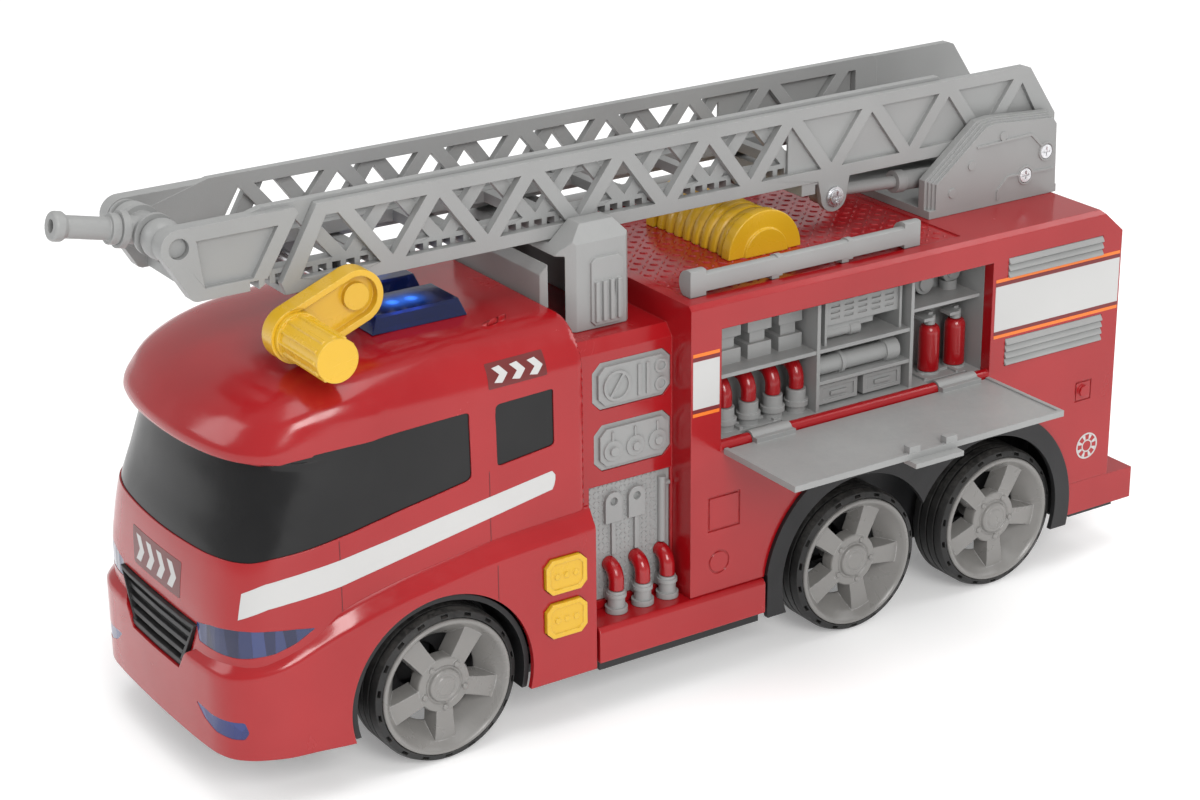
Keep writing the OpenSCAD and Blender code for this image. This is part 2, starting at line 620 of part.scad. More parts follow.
// layer that follows the lower cab plan between two insets
module plan_band(z, height, outer_inset, inner_inset)
  translate([0, 0, z]) linear_extrude(height) difference() {
    lower_plan(outer_inset);
    lower_plan(inner_inset);
  }
module grille() color(dark) {
  // back plate
  intersection() {
    plan_band(38, 22, 3.1, 4.3);
    grille_zone(0);
  }
  // cross bars, each set further in than the one below
  intersection() {
    for (k = [0:4]) plan_band(41 + k * 3.7, 1.9, 0.4 + k * 0.55, 3.4);
    grille_zone(0);
  }
  // rim
  intersection() {
    plan_band(40, 18.6, 0.8, 3.4);
    difference() {
      grille_zone(0);
      grille_zone(-1.5);
    }
  }
}
module beacons() color(blue) both_sides() difference() {
  extrude_y(-117, -81)
    polygon([[2.6, cab_z + 0.05], [26.6, cab_z + 0.05], [23.4, 146.6], [5.8, 146.6]]);
  // sloping ends
  extrude_x(-1, 30) polygon([[-120, 140], [-120, 150], [-111, 150], [-116.8, cab_z + 0.4],
    [-116.8, 140]]);
  extrude_x(-1, 30) polygon([[-80, 140], [-80, 150], [-84, 150], [-81.4, 140]]);
  block(6.6, 23, -113, -85, 139, 145.2);
}
module button_body(z0, z1) {
  y0 = button_y[0];
  y1 = button_y[1];
  // cap with a sunk face
  difference() {
    extrude_x(57.1, 60.9) cut_rect(y0, y1, z0, z1, 2.4);
    extrude_x(60.4, 62) cut_rect(y0 + 1.6, y1 - 1.6, z0 + 1.6, z1 - 1.6, 1.6);
  }
  // flange and plunger
  extrude_x(55.2, 57.2) cut_rect(y0 - 1.4, y1 + 1.4, z0 - 1.2, z1 + 1.2, 2);
  extrude_x(50, 55.2) cut_rect(-70, -63, z0 + 3, z1 - 3, 1);
  for (k = [0:2]) rod_x(60.3, 61, -70.2 + k * 3.6, (z0 + z1) / 2, 1);
}
module button_upper() color(yellow) button_body(button_upper_z[0], button_upper_z[1]);
module button_lower() color(yellow) button_body(button_lower_z[0], button_lower_z[1]);

// ---------- pump panels ----------
port_x = pump_x + 4.1;
port_y = [-40.4, -29.6, -19.4];
module pump_panel() {
  for (p = plate_seats) {
    extrude_x(pump_x - 2.1, pump_x - 0.4)
      cut_rect(p[0] + 0.1, p[1] - 0.1, p[2] + 0.1, p[3] - 0.1, 3.2);
    extrude_x(pump_x - 0.5, pump_x + 0.9)
      cut_rect(p[0] + 2, p[1] - 1.6, p[2] + 1.6, p[3] - 1.6, 2.6);
  }
  // dial, bars and ports
  extrude_x(pump_x + 0.8, pump_x + 1.7) {
    translate([-37.6, 113.6]) {
      ring(5.4, 4.4);
      rotate(-35) square([1.1, 9], center = true);
    }
    for (y = [-29.4, -26]) translate([y, 108.4]) square([1.2, 11]);
    for (z = [117, 110.6]) translate([-20, z]) ring(2.5, 1.6);
  }
  // three knobs with a mark above each
  for (k = [0:2]) let (y = -39.4 + k * 9) {
    rod_x(pump_x + 0.8, pump_x + 1.6, y, 90.6, 3.6);
    rod_x(pump_x + 1.5, pump_x + 2.6, y, 90.6, 1.5);
    block(pump_x + 0.8, pump_x + 1.5, y - 0.4, y + 0.4, 94, 97.4);
  }
  // tool board
  block(pump_x - 3.6, pump_x - 1, tool_seat[0] + 0.1, tool_seat[1] - 0.1,
    tool_seat[2] + 0.1, tool_seat[3] - 0.1);
  for (y = [-38.6, -29.2]) {
    extrude_x(pump_x - 1.1, pump_x + 0.5) difference() {
      union() {
        translate([y, 71.6]) circle(3.4);
        translate([y - 3.4, 64]) square([6.8, 7.6]);
      }
      translate([y, 71.6]) circle(1.5);
    }
    extrude_x(pump_x - 1.1, pump_x + 0.2) translate([y - 0.8, 52]) square([1.6, 13]);
  }
  rod_y(pump_x - 0.6, 73, -19.4, -15.4, 0.9);
  rod_z(pump_x - 0.4, -18.6, 52, 76, 1.5);
  // couplings of the lower hoses
  for (y = port_y) {
    rod_z(port_x, y, 33.4, 41, 3);
    rod_z(port_x, y, 33, 35, 3.9);
    rod_z(port_x, y, 38.6, 40, 3.5);
    block(pump_x - 1.2, pump_x + 2, y - 2, y + 2, 36.4, 40);
  }
}
module pump_panel_left() color(grey) pump_panel();
module pump_panel_right() color(grey) mirror([1, 0, 0]) pump_panel();

// ---------- lockers ----------
hose_x = 46.2;
hose_y = [7.4, 17.6, 28, 38.2];
hose_r = 2.7;
extinguisher_x = 43.5;
extinguisher_y = [100.2, 112.2];
module tray() {
  back_x = 35.9;   // contents start just inside the back wall
  floor_z = 87.1;  // and just inside the floor
  difference() {
    block(34.5, 52.9, locker_y0 - 1.4, locker_y1 + 1.4, 82.2, 130.5);
    block(36, 54, locker_y0, locker_y1, 87.2, locker_z1);
    // step under the floor and room for the door hinges
    block(48.5, 54, locker_y0 - 2, locker_y1 + 2, 80, 85);
    for (s = [[10, 28.4], [92.4, 112]]) block(50.6, 54, s[0], s[1], 80, 90);
    // clearance for the front body screw post
    rod_z(body_posts[0][0], body_posts[0][1], 70, 140, 4.2);
  }
  // dividers and shelves
  for (y = [42.2, 83.8]) block(35, 52.6, y, y + 1.4, 87, locker_z1 + 0.1);
  block(35, 52.2, locker_y0 - 0.1, 42.4, 108.6, 110);
  block(35, 52.2, 43.4, 84, 96.8, 98.1);
  block(35, 52.2, 43.4, 84, 108.6, 110);
  block(35, 50.6, 85, locker_y1 + 0.1, 114.5, 115.8);
  // three tool sets on the front upper shelf
  for (y = [10, 23, 36.2]) {
    block(back_x, 45, y - 5, y + 5, 110, 115.2);
    block(back_x, 43.5, y - 3.2, y + 3.2, 115.1, 122);
    block(back_x, 45, y - 5, y + 5, 119.6, 124.4);
    block(back_x, 43, y - 1.6, y + 1.6, 124.3, 128);
  }
  // hose couplings
  for (y = hose_y) {
    rod_z(hose_x, y, floor_z, 95.6, 3.5);
    rod_z(hose_x, y, 89.6, 91.6, 4.3);
  }
  // louvred case and nozzle
  difference() {
    block(back_x, 48.6, 48.3, 80.7, 116.6, 127.6);
    for (row = [0:3], column = [0:4])
      block(48, 49, 51 + column * 6, 55 + column * 6, 118.6 + row * 2.1, 119.5 + row * 2.1);
  }
  block(back_x, 47, 48.3, 71, 113.8, 116.8);
  rod_y(45.4, 112.9, 48.9, 61, 2.2);
  rod_y(45.4, 112.9, 60.6, 65, 2.7);
  for (y = [47.4, 80.6]) block(back_x, 50, y, y + 1, 109.9, 128);
  // rolled hose on the middle shelf
  rod_y(47, 101.9, 44.8, 80, 3.3);
  rod_y(47, 101.9, 55, 56.4, 4.1);
  rod_y(47, 101.9, 75, 80.6, 4.2);
  // two drawers
  for (y = [45.8, 65.4]) {
    difference() {
      block(back_x, 49.6, y, y + 17, 88.2, 95.4);
      block(49, 50, y + 1.6, y + 15.4, 89.6, 94);
    }
    block(48.9, 50, y + 5, y + 12, 91, 92.4);
  }
  // round lamps
  rod_x(back_x, 41, 99.4, 120.3, 4.2);
  rod_x(40.8, 42, 99.4, 120.3, 2.8);
  rod_x(back_x, 41, 112, 122.6, 4.2);
  rod_x(40.8, 42, 112, 122.6, 2.6);
  rod_z(39, 112, 115.7, 119, 3.2);
  // valves above the extinguishers, and the discs they stand on
  for (y = extinguisher_y) {
    rod_z(extinguisher_x, y, 105.6, 109, 2);
    block(36, 44, y - 1, y + 1, 107.6, 110);
    block(41, 47, y - 5.4, y - 0.9, 108, 109.2);
    rod_z(extinguisher_x, y, floor_z, 88.1, 4.2);
  }
  // clip rails by the door hinges
  for (y = [19, 101]) {
    block(44, 50.4, y - 8, y - 6.6, floor_z, 88.05);
    block(44, 50.4, y + 6.6, y + 8, floor_z, 88.05);
    block(44, 45.6, y - 8, y + 8, floor_z, 88.05);
  }
}
module tray_left() color(grey) tray();
module tray_right() color(grey) mirror([1, 0, 0]) tray();
// hose that rises from z0, turns inwards at z1 and ends level between end_x0 and end_x1
module hose_bend(x, y, z0, z1, bend_r, end_x0, end_x1) {
  rod_z(x, y, z0, z1, hose_r);
  translate([x - bend_r, y, z1]) rotate([90, 0, 0]) rotate_extrude(angle = 90)
    translate([bend_r, 0]) circle(hose_r, $fn = 32);
  rod_x(end_x0, end_x1, y, z1 + bend_r, hose_r);
}
module hose_bends() color(red) both_sides() {
  for (y = hose_y) hose_bend(hose_x, y, 95.65, 99, 5.4, 36.1, 40.8);
  for (y = port_y) hose_bend(port_x, y, 41.05, 44.4, 4.6, pump_x - 0.95, pump_x - 0.45);
}
module extinguishers() color(red) both_sides() for (y = extinguisher_y) {
  rod_z(extinguisher_x, y, 88.15, 102.6, 3.9);
  translate([extinguisher_x, y, 102.6]) intersection() {
    sphere(3.9);
    translate([-5, -5, 0]) cube([10, 10, 2.8]);
  }
}
// door drawn in its open position on the +X side
module door_open() {
  x0 = hinge_x + 2.75;
  x1 = hinge_x + door_h;
  y0 = locker_y0 + 0.7;
  y1 = locker_y1 - 0.7;
  z0 = hinge_z - 1.9;
  knuckles = [for (s = door_knuckles) [s[0] + 0.2, s[1] - 0.2]];
  difference() {
    union() {
      // panel and its raised rim
      block(x0, x1, y0, y1, z0, hinge_z - 0.3);
      difference() {
        block(x0, x1, y0, y1, z0, hinge_z + 0.3);
        block(x0 - 1, x1 - 1.6, y0 + 1.6, y1 - 1.6, hinge_z - 1, hinge_z + 1);
      }
      for (s = knuckles) {
        rod_y(hinge_x, hinge_z, s[0], s[1], 2.9);
        block(hinge_x + 0.4, x0 + 2, s[0], s[1], z0, hinge_z + 1.4);
      }
      // handle and catches
      block(x1 - 3, x1 + 3.6, 46.8, 67.7, hinge_z - 3.9, hinge_z - 2.15);
      for (s = [[46.8, 51.6], [62.8, 67.7]])
        block(x1 - 3.2, x1 - 0.1, s[0], s[1], hinge_z - 2.2, hinge_z + 2.6);
      block(x1 - 1.5, x1, 46.8, 67.7, hinge_z - 2.2, hinge_z);
    }
    for (s = knuckles) rod_y(hinge_x, hinge_z, s[0] - 1, s[1] + 1, 1.06);
  }
}
// the left door is open, the right one is turned up and closed
module door_left() color(grey) door_open();
module door_right() color(grey) mirror([1, 0, 0]) translate([hinge_x, 0, hinge_z])
  rotate([0, -90, 0]) translate([-hinge_x, 0, -hinge_z]) door_open();
module hinge_pins() color(steel) both_sides()
  for (s = door_knuckles) rod_y(hinge_x, hinge_z, s[0] - 1.8, s[1] + 1.8, 1);

// ---------- roof fittings ----------
module roof_tubes() color(grey) both_sides() intersection() {
  tube_x = 48.5;
  tube_z = 143.5;
  union() {
    rod_y(tube_x, tube_z, -9.6, 88.5, 3.4);
    for (s = [[-9.8, -3.4], [81.6, 88.6]]) rod_y(tube_x, tube_z, s[0], s[1], 5);
    for (y = [26.2, 56.6]) rod_y(tube_x, tube_z, y, y + 2.2, 3.9);
    for (y = [-7, 24, 54, 84]) block(46.6, 50.2, y, y + 3, roof_z - 0.4, 142);
  }
  // the feet reach into the tread recess, the rest stays above the rim
  block(40, 50.3, -20, 100, roof_z - 0.45, 150);
  block(40, 56, -20, 100, roof_z + 0.02, 150);
}
module hose_reel() color(yellow) difference() {
  reel_y = 39.5;
  reel_z = roof_z - 0.4;
  turn_w = 5.25;
  union() {
    for (k = [0:7]) translate([-21 + k * turn_w, reel_y, reel_z]) rotate([0, 90, 0])
      rotate_extrude() polygon([[0, 0], [13.2, 0], [14.4, 1], [14.7, 2.6], [14.4, 4.2],
        [13.2, turn_w], [0, turn_w]]);
    both_sides() {
      rod_x(20.9, 25.4, reel_y, reel_z, 15.6);
      rod_x(25.3, 26.5, reel_y, reel_z, 9.2);
    }
  }
  // upper half only, hollow inside
  block(-40, 40, 10, 70, 110, roof_z - 0.45);
  rod_x(-23, 23, reel_y, reel_z, 11.4);
}
module ladder_cradle() color(grey) difference() {
  union() {
    intersection() {
      block(-35.5, 35.5, -54.9, -24, pump_z + 0.05, 166);
      translate([0, 0, 120]) linear_extrude(60) polygon(mirrored([[0, -54.9], [28, -54.9],
        [35.5, -45], [35.5, -25.6], [34, -24], [0, -24]]));
      extrude_y(-60, -20)
        polygon(mirrored([[0, 120], [35.5, 120], [35.5, 160.5], [31, 166], [0, 166]]));
      extrude_x(-40, 40) polygon([[-54.9, 120], [-24, 120], [-24, 161], [-28, 166],
        [-41, 166], [-50, 158], [-54.9, 150]]);
    }
    // side plates with four upright ribs
    both_sides() {
      extrude_x(35, 36.7) cut_rect(-40, -27.6, 131.5, 155, 1.5);
      for (k = [0:3]) block(36.5, 38, -39 + k * 2.9, -37.4 + k * 2.9, 133, 147);
    }
  }
  // ladder channel and hollow inside
  block(-23.9, 23.9, -60, -20, 158.9, 170);
  block(-33, 33, -52.6, -26.2, 120, 156.4);
}
base_z0 = roof_z + 0.05;
// side plate outline; columns: y, z, growth share in y, growth share in z
cheek = [[112.6, base_z0, -1, 0], [112.6, 151.8, -1, 0.4], [135.2, 169.6, -0.8, 0.6],
  [139.5, 170.2, 0, 0.6], [167.4, 168, 0.3, 0.6], [169.4, 165.6, 0.6, 0],
  [170.2, base_z0, 0.6, 0]];
// raised lines on the side plates: start and end in (y, z)
cheek_lines = [[[131, 162.6], [157, 163.4]], [[157, 163.4], [163, 157.6]],
  [[141.6, 141], [141.6, 144.4]], [[141.6, 144.4], [146.4, 149]], [[146.4, 149], [168.6, 148.6]]];
module ladder_base() color(grey) difference() {
  union() {
    block(-30, 30, 109.6, 170.6, base_z0, 142.2);
    // side plates, stepping in towards the outside
    both_sides() {
      extrude_x(23.8, 27) polygon(shifted(cheek, 3));
      extrude_x(26.9, 28) polygon(shifted(cheek, 2));
      extrude_x(27.9, 29) polygon(shifted(cheek, 1));
      extrude_x(28.9, 30) polygon(shifted(cheek, 0));
      for (p = [[120, 147.4], [128.8, 156.2], [143.4, 165]]) rod_x(29.9, 30.5, p[0], p[1], 1.7);
      extrude_x(29.9, 30.5) {
        translate([pivot_y, pivot_z]) circle(3.6);
        translate([foot_y, foot_z]) circle(3.6);
        for (ends = cheek_lines) bar(ends[0], ends[1], 0.9);
      }
    }
    both_sides() block(11.6, 13, foot_y - 4.5, foot_y + 4.5, 142, foot_z + 4);
    block(-13, 13, 167, 170.6, 142, 146);
  }
  rod_x(-40, 40, pivot_y, pivot_z, 2.06);
  rod_x(-40, 40, foot_y, foot_z, 1.56);
  both_sides() {
    rod_x(29.4, 31, pivot_y, pivot_z, 2.9);
    rod_x(29.4, 31, foot_y, foot_z, 2.9);
  }
}
// pin head with a cross slot in its outer face
module pin_head(x, y, z) difference() {
  rod_x(x, x + 0.9, y, z, 2.7);
  block(x + 0.4, x + 1.2, y - 1.7, y + 1.7, z - 0.3, z + 0.3);
  block(x + 0.4, x + 1.2, y - 0.3, y + 0.3, z - 1.7, z + 1.7);
}
module base_pins() color(steel) {
  rod_x(-29.5, 29.5, pivot_y, pivot_z, 2);
  rod_x(-29.5, 29.5, foot_y, foot_z, 1.5);
  both_sides() {
    pin_head(29.5, pivot_y, pivot_z);
    pin_head(29.5, foot_y, foot_z);
  }
}

// ---------- ladder ----------
truss_pitch = 35.25;
outer_top = [for (i = [0:8]) [-124 + truss_pitch * i, ladder_z1 - 2]];
outer_bottom = [for (i = [0:7]) [-106.4 + truss_pitch * i, ladder_z0 + 2.2]];
module outer_outline() polygon([[-144.6, ladder_z0], [172, ladder_z0], [174.4, ladder_z0 + 3.5],
  [174.4, 167.4], [161.4, 186.4], [158.6, ladder_z1], [-132.6, ladder_z1],
  [-146, ladder_z0 + 4]]);
// zigzag of diagonals from top to bottom and back up
module diagonals(top, bottom, width) for (i = [0:len(bottom) - 1]) {
  bar(top[i], bottom[i], width);
  bar(bottom[i], top[i + 1], width);
}
module outer_holes() difference() {
  polygon([[-139.4, ladder_z0 + 4.4], [169, ladder_z0 + 4.4], [170, 167],
    [159.2, ladder_z1 - 4.2], [-129.6, ladder_z1 - 4.2]]);
  diagonals(outer_top, outer_bottom, 4.6);
  bar(outer_top[8], [172, ladder_z0 + 2], 4.6);
}
module ladder_outer() color(grey) difference() {
  side_x0 = ladder_x - rail_t;
  rung_x = ladder_x - 0.5;
  union() {
    both_sides() extrude_x(side_x0, ladder_x) difference() {
      outer_outline();
      outer_holes();
    }
    // web that closes the holes in the rear part
    both_sides() extrude_x(side_x0, ladder_x - 1.9) intersection() {
      outer_outline();
      translate([52, ladder_z0]) square([125, 40]);
    }
    // rungs
    for (p = outer_bottom)
      block(-rung_x, rung_x, p[0] - 2.2, p[0] + 2.2, ladder_z0, ladder_z0 + 2.2);
    block(-rung_x, rung_x, -145, -141, ladder_z0, ladder_z0 + 2.2);
    // strut lugs and their web
    both_sides() extrude_x(ladder_x - 2.4, ladder_x) {
      translate([lug_y, lug_z]) circle(5.6);
      polygon([[lug_y - 7.4, ladder_z0 + 1], [lug_y + 7, ladder_z0 + 1], [lug_y + 5.6, lug_z],
        [lug_y - 5.6, lug_z]]);
    }
    block(-rung_x, rung_x, lug_y - 14, lug_y - 8, 155.4, ladder_z0 + 1);
    block(-rung_x, rung_x, lug_y - 8.1, lug_y + 5, 158.8, ladder_z0 + 1);
    // pivot ears
    both_sides() extrude_x(side_x0, ladder_x) {
      translate([pivot_y, pivot_z]) circle(5.6);
      translate([pivot_y - 5.6, pivot_z]) square([11.2, 8]);
    }
    // crank bearing
    both_sides() extrude_x(side_x0, ladder_x) {
      translate([crank_y, crank_z]) circle(6.2);
      translate([crank_y - 6.2, crank_z]) square([12.4, 4]);
    }
    rod_x(ladder_x - 0.1, 25.9, crank_y, crank_z, 4.4);
    // thin ledges on the inner faces, along the top edge
    both_sides() for (y = [-124, 17, 105])
      block(side_x0 - 0.1, ladder_x, y - 4, y + 4, ladder_z1 - 0.1, ladder_z1);
  }
  rod_x(-40, 40, pivot_y, pivot_z, 2.06);
  rod_x(-40, 40, lug_y, lug_z, 2.04);
  rod_x(-40, 40, crank_y, crank_z, 2.06);
}
rack_z0 = crank_z + 5.3;
inner_z1 = 188.6;
inner_top = [for (i = [0:7]) [-139 + truss_pitch * i, inner_z1 - 2]];
inner_bottom = [for (i = [0:6]) [-121.4 + truss_pitch * i, rack_z0 + 2]];
module inner_outline() polygon([[-170, rack_z0], [116, rack_z0], [122, 176],
  [122, inner_z1 - 2], [120, inner_z1], [-150, inner_z1], [-170, 183]]);
module inner_holes() difference() {
  polygon([[-152, rack_z0 + 4.6], [112, rack_z0 + 4.6], [112, inner_z1 - 4.4],
    [-140, inner_z1 - 4.4]]);
  diagonals(inner_top, inner_bottom, 4.4);
}
module tip_outline() {
  translate([monitor_y, monitor_z]) circle(6.1);
  polygon([[-174.6, 163.3], [-153.4, 163.3], [-151.4, 164.6], [-138.8, 185.4], [-140, 187.3],
    [monitor_y, 187.3], [-185.2, 179.4], [-176, 163.9]]);
}
module ladder_inner() color(grey) difference() {
  union() {
    both_sides() extrude_x(inner_x - 2.8, inner_x) difference() {
      inner_outline();
      inner_holes();
    }
    // rack rails
    both_sides() extrude_x(14, inner_x) polygon([[-160, rack_z0], [114, rack_z0],
      [114, rack_z0 + 4.4], [-160, rack_z0 + 4.4]]);
    // rungs
    for (p = inner_bottom) let (y = p[0] + 2.5)
      block(-16, 16, y - 2, y + 2, rack_z0 + 0.4, rack_z0 + 4);
    // tip head
    both_sides() extrude_x(18, 22.6) tip_outline();
    both_sides() extrude_x(17.2, 18.1) tip_outline();
    block(-18, 18, -162, -158, rack_z0 + 0.2, rack_z0 + 4.4);
    block(-18, 18, -173, -169, 164, 167.6);
  }
  // pocket in the outer face of the tip
  both_sides() extrude_x(20.6, 30)
    polygon([[-171.6, 167.2], [-155.2, 167.2], [-145.8, 182.6], [-173.6, 182.6]]);
  rod_x(-40, 40, monitor_y, monitor_z, 3.34);
  // rack slots
  for (k = [-6:46]) let (y = crank_y + k * rack_pitch)
    both_sides() block(15.4, 25, y - 1.5, y + 1.5, rack_z0 - 1, rack_z0 + 2.9);
}
module lug_pin() color(steel) {
  rod_x(-ladder_x, ladder_x, lug_y, lug_z, 2);
  both_sides() {
    rod_x(ladder_x, ladder_x + 1, lug_y, lug_z, 3.6);
    pin_head(ladder_x + 1, lug_y, lug_z);
  }
}
// frame at the strut foot, with -Y towards the strut head
module strut_frame() translate([0, foot_y, foot_z]) rotate([-strut_slope, 0, 0]) children();
module strut_barrels() color(grey) both_sides() difference() {
  union() {
    strut_frame() {
      rod_y(strut_x, 0, -52, -4, 3.5);
      rod_y(strut_x, 0, -52, -48, 4.1);
      rod_y(strut_x, 0, -10, -6, 3.9);
    }
    rod_x(strut_x - 3.2, strut_x + 3.2, foot_y, foot_z, 4.4);
  }
  strut_frame() rod_y(strut_x, 0, -60, -12, 2.32);
  rod_x(0, 40, foot_y, foot_z, 1.56);
}
module strut_rods() color(grey) both_sides() difference() {
  union() {
    strut_frame() rod_y(strut_x, 0, -strut_len + 2, -14, 2.25);
    rod_x(strut_x - 2.6, strut_x + 2.6, lug_y, lug_z, 4.5);
  }
  rod_x(0, 40, lug_y, lug_z, 2.85);
}

// ---------- crank, pinion, water monitor ----------
module pinion() color(dark) difference() {
  union() {
    rod_x(16, 18.8, crank_y, crank_z, 4.9);
    for (k = [0:7]) translate([0, crank_y, crank_z]) rotate([k * 45, 0, 0]) extrude_x(16, 18.8)
      polygon([[-1, 4], [1, 4], [0.9, 6.2], [0.6, 7.5], [-0.6, 7.5], [-0.9, 6.2]]);
  }
  rod_x(10, 30, crank_y, crank_z, 2.03);
}
module crank_shaft() color(steel) {
  rod_x(-23.5, 29.6, crank_y, crank_z, 2);
  rod_x(-24.9, -23.4, crank_y, crank_z, 3.4);
}
module arm_outline(r) {
  translate([crank_y, crank_z]) circle(r);
  translate([knob_y, knob_z]) circle(r);
  bar([knob_y, knob_z], [crank_y, crank_z], 2 * r);
}
module crank_arm() color(yellow) {
  difference() {
    union() {
      difference() {
        extrude_x(26.4, 33.5) arm_outline(9);
        extrude_x(30.6, 34) arm_outline(6.9);
      }
      rod_x(30, 32.6, crank_y, crank_z, 4.5);
    }
    rod_x(26, 29.8, crank_y, crank_z, 2.06);
    rod_x(33, 34, knob_y, knob_z, 9.1);
  }
  // spindle of the knob
  rod_x(30.4, 54, knob_y, knob_z, 1.9);
}
module crank_knob() color(yellow) difference() {
  union() {
    rod_x(33.1, 59.4, knob_y, knob_z, 7.1);
    rod_x(33.1, 35, knob_y, knob_z, 8);
    // grip ribs
    for (k = [0:11]) translate([0, knob_y, knob_z]) rotate([k * 30, 0, 0])
      rod_x(34.4, 57.6, 0, 6.9, 0.75);
  }
  rod_x(33, 54.6, knob_y, knob_z, 1.96);
}
// half profile of the monitor's cross tube; columns: distance from the centre, radius
monitor_half = concat([[4.6, 5.2], [4.6, 7], [6, 7], [6, 5.4]],
  [for (angle = [-50:10:50]) [10.6 + 6.6 * sin(angle), 6.6 * cos(angle)]],
  [[15.7, 5.2], [15.7, 5.8], [17, 5.8], [17, 3.26], [20.4, 3.26]]);
monitor_profile = concat([[0, -20.4]],
  [for (i = [len(monitor_half) - 1:-1:0]) [monitor_half[i][1], -monitor_half[i][0]]],
  [for (p = monitor_half) [p[1], p[0]]], [[0, 20.4]]);
// frame on the monitor axis; local +Z points forwards along the nozzle, from a local distance
module nozzle_frame(distance) translate([0, monitor_y, monitor_z])
  rotate([monitor_tilt, 0, 0]) translate([0, -distance, 0]) rotate([90, 0, 0]) children();
module monitor_body() color(grey) difference() {
  union() {
    translate([0, monitor_y, monitor_z]) rotate([0, 90, 0]) rotate_extrude()
      polygon(monitor_profile);
    nozzle_frame(-0.5) cylinder(h = 10.5, r = 4.4);
    nozzle_frame(8) cylinder(h = 2.4, r = 5.9);
  }
  nozzle_frame(1) cylinder(h = 20, r = 2.4);
}
module monitor_nozzle() color(grey) nozzle_frame(10.45) difference() {
  union() {
    cylinder(h = 3, r = 4.9);
    translate([0, 0, 2.9]) cylinder(h = 17, r = 3.6);
    translate([0, 0, 17]) rotate_extrude()
      polygon([[0, 0], [3.6, 0], [4.7, 1.6], [4.7, 4], [4.2, 4.8], [0, 4.8]]);
  }
  translate([0, 0, -1]) cylinder(h = 25, r = 2.1);
}

chassis();
chassis_screws();
battery_door();
batteries();
battery_contacts();
circuit_board();
speaker();
power_switch();
leds();
body_shell();
cab_shell();
cab_lower();
cab_windows();
grille();
headlamps();
fog_lamps();
beacons();
pump_panel_left();
pump_panel_right();
tray_left();
tray_right();
hose_bends();
extinguishers();
door_left();
door_right();
hinge_pins();
side_louvres();
roof_tubes();
hose_reel();
ladder_cradle();
ladder_base();
base_pins();
ladder_outer();
ladder_inner();
lug_pin();
strut_barrels();
strut_rods();
crank_arm();
crank_knob();
crank_shaft();
pinion();
monitor_body();
monitor_nozzle();
axle_front();
axle_mid();
axle_rear();
rims_front();
rims_mid();
rims_rear();
tyres_front();
tyres_mid();
tyres_rear();
arch_trims();
side_skirts();
rear_step();
button_upper();
button_lower();
tail_lamps();
rear_shutter();
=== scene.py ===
# Looks of a toy fire engine, built around its CAD frame.
# It stands on z = 0 with its length along Y, the cab's nose towards -Y and the roof towards +Z.
# Piece names call the +X side "right" and the -X side "left".
# Blender works in metres. Geometry below is in mm, turned to metres by MM; materials, floor and
# lights are in metres.
import bpy
import json
import math
import numpy as np
from mathutils import Vector, Matrix
from mathutils.geometry import delaunay_2d_cdt


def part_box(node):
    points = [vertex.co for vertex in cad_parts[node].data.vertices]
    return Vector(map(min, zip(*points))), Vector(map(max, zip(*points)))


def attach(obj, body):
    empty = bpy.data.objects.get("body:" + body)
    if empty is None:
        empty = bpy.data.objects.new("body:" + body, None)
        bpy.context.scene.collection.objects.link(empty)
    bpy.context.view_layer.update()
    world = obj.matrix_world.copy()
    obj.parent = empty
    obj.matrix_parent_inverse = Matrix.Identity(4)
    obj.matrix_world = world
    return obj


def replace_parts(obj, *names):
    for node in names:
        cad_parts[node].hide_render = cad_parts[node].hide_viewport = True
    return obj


MM = 0.001
SIDES = ((1, "right"), (-1, "left"))    # sign of X, word in the piece's name

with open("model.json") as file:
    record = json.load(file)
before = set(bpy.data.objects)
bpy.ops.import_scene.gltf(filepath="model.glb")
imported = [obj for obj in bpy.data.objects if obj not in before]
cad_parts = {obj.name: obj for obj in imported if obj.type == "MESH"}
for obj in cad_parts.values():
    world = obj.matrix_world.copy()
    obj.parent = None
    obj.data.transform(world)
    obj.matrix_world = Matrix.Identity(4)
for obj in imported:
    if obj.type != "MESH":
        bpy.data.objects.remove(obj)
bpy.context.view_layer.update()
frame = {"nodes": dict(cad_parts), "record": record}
NODES = frame["nodes"]
SLOT = {part["node"]: part["material_slot"] for part in frame["record"]["subparts"]}

# ------------------------------------------------------------------ shader building
MAT = {}    # every material by name


def rgba(colour):
    """Four channels from a grey level or an RGB colour."""
    if isinstance(colour, (int, float)):
        return (colour, colour, colour, 1)
    return (*colour, 1)


def scaled(colour, factor):
    return tuple(channel * factor for channel in colour)


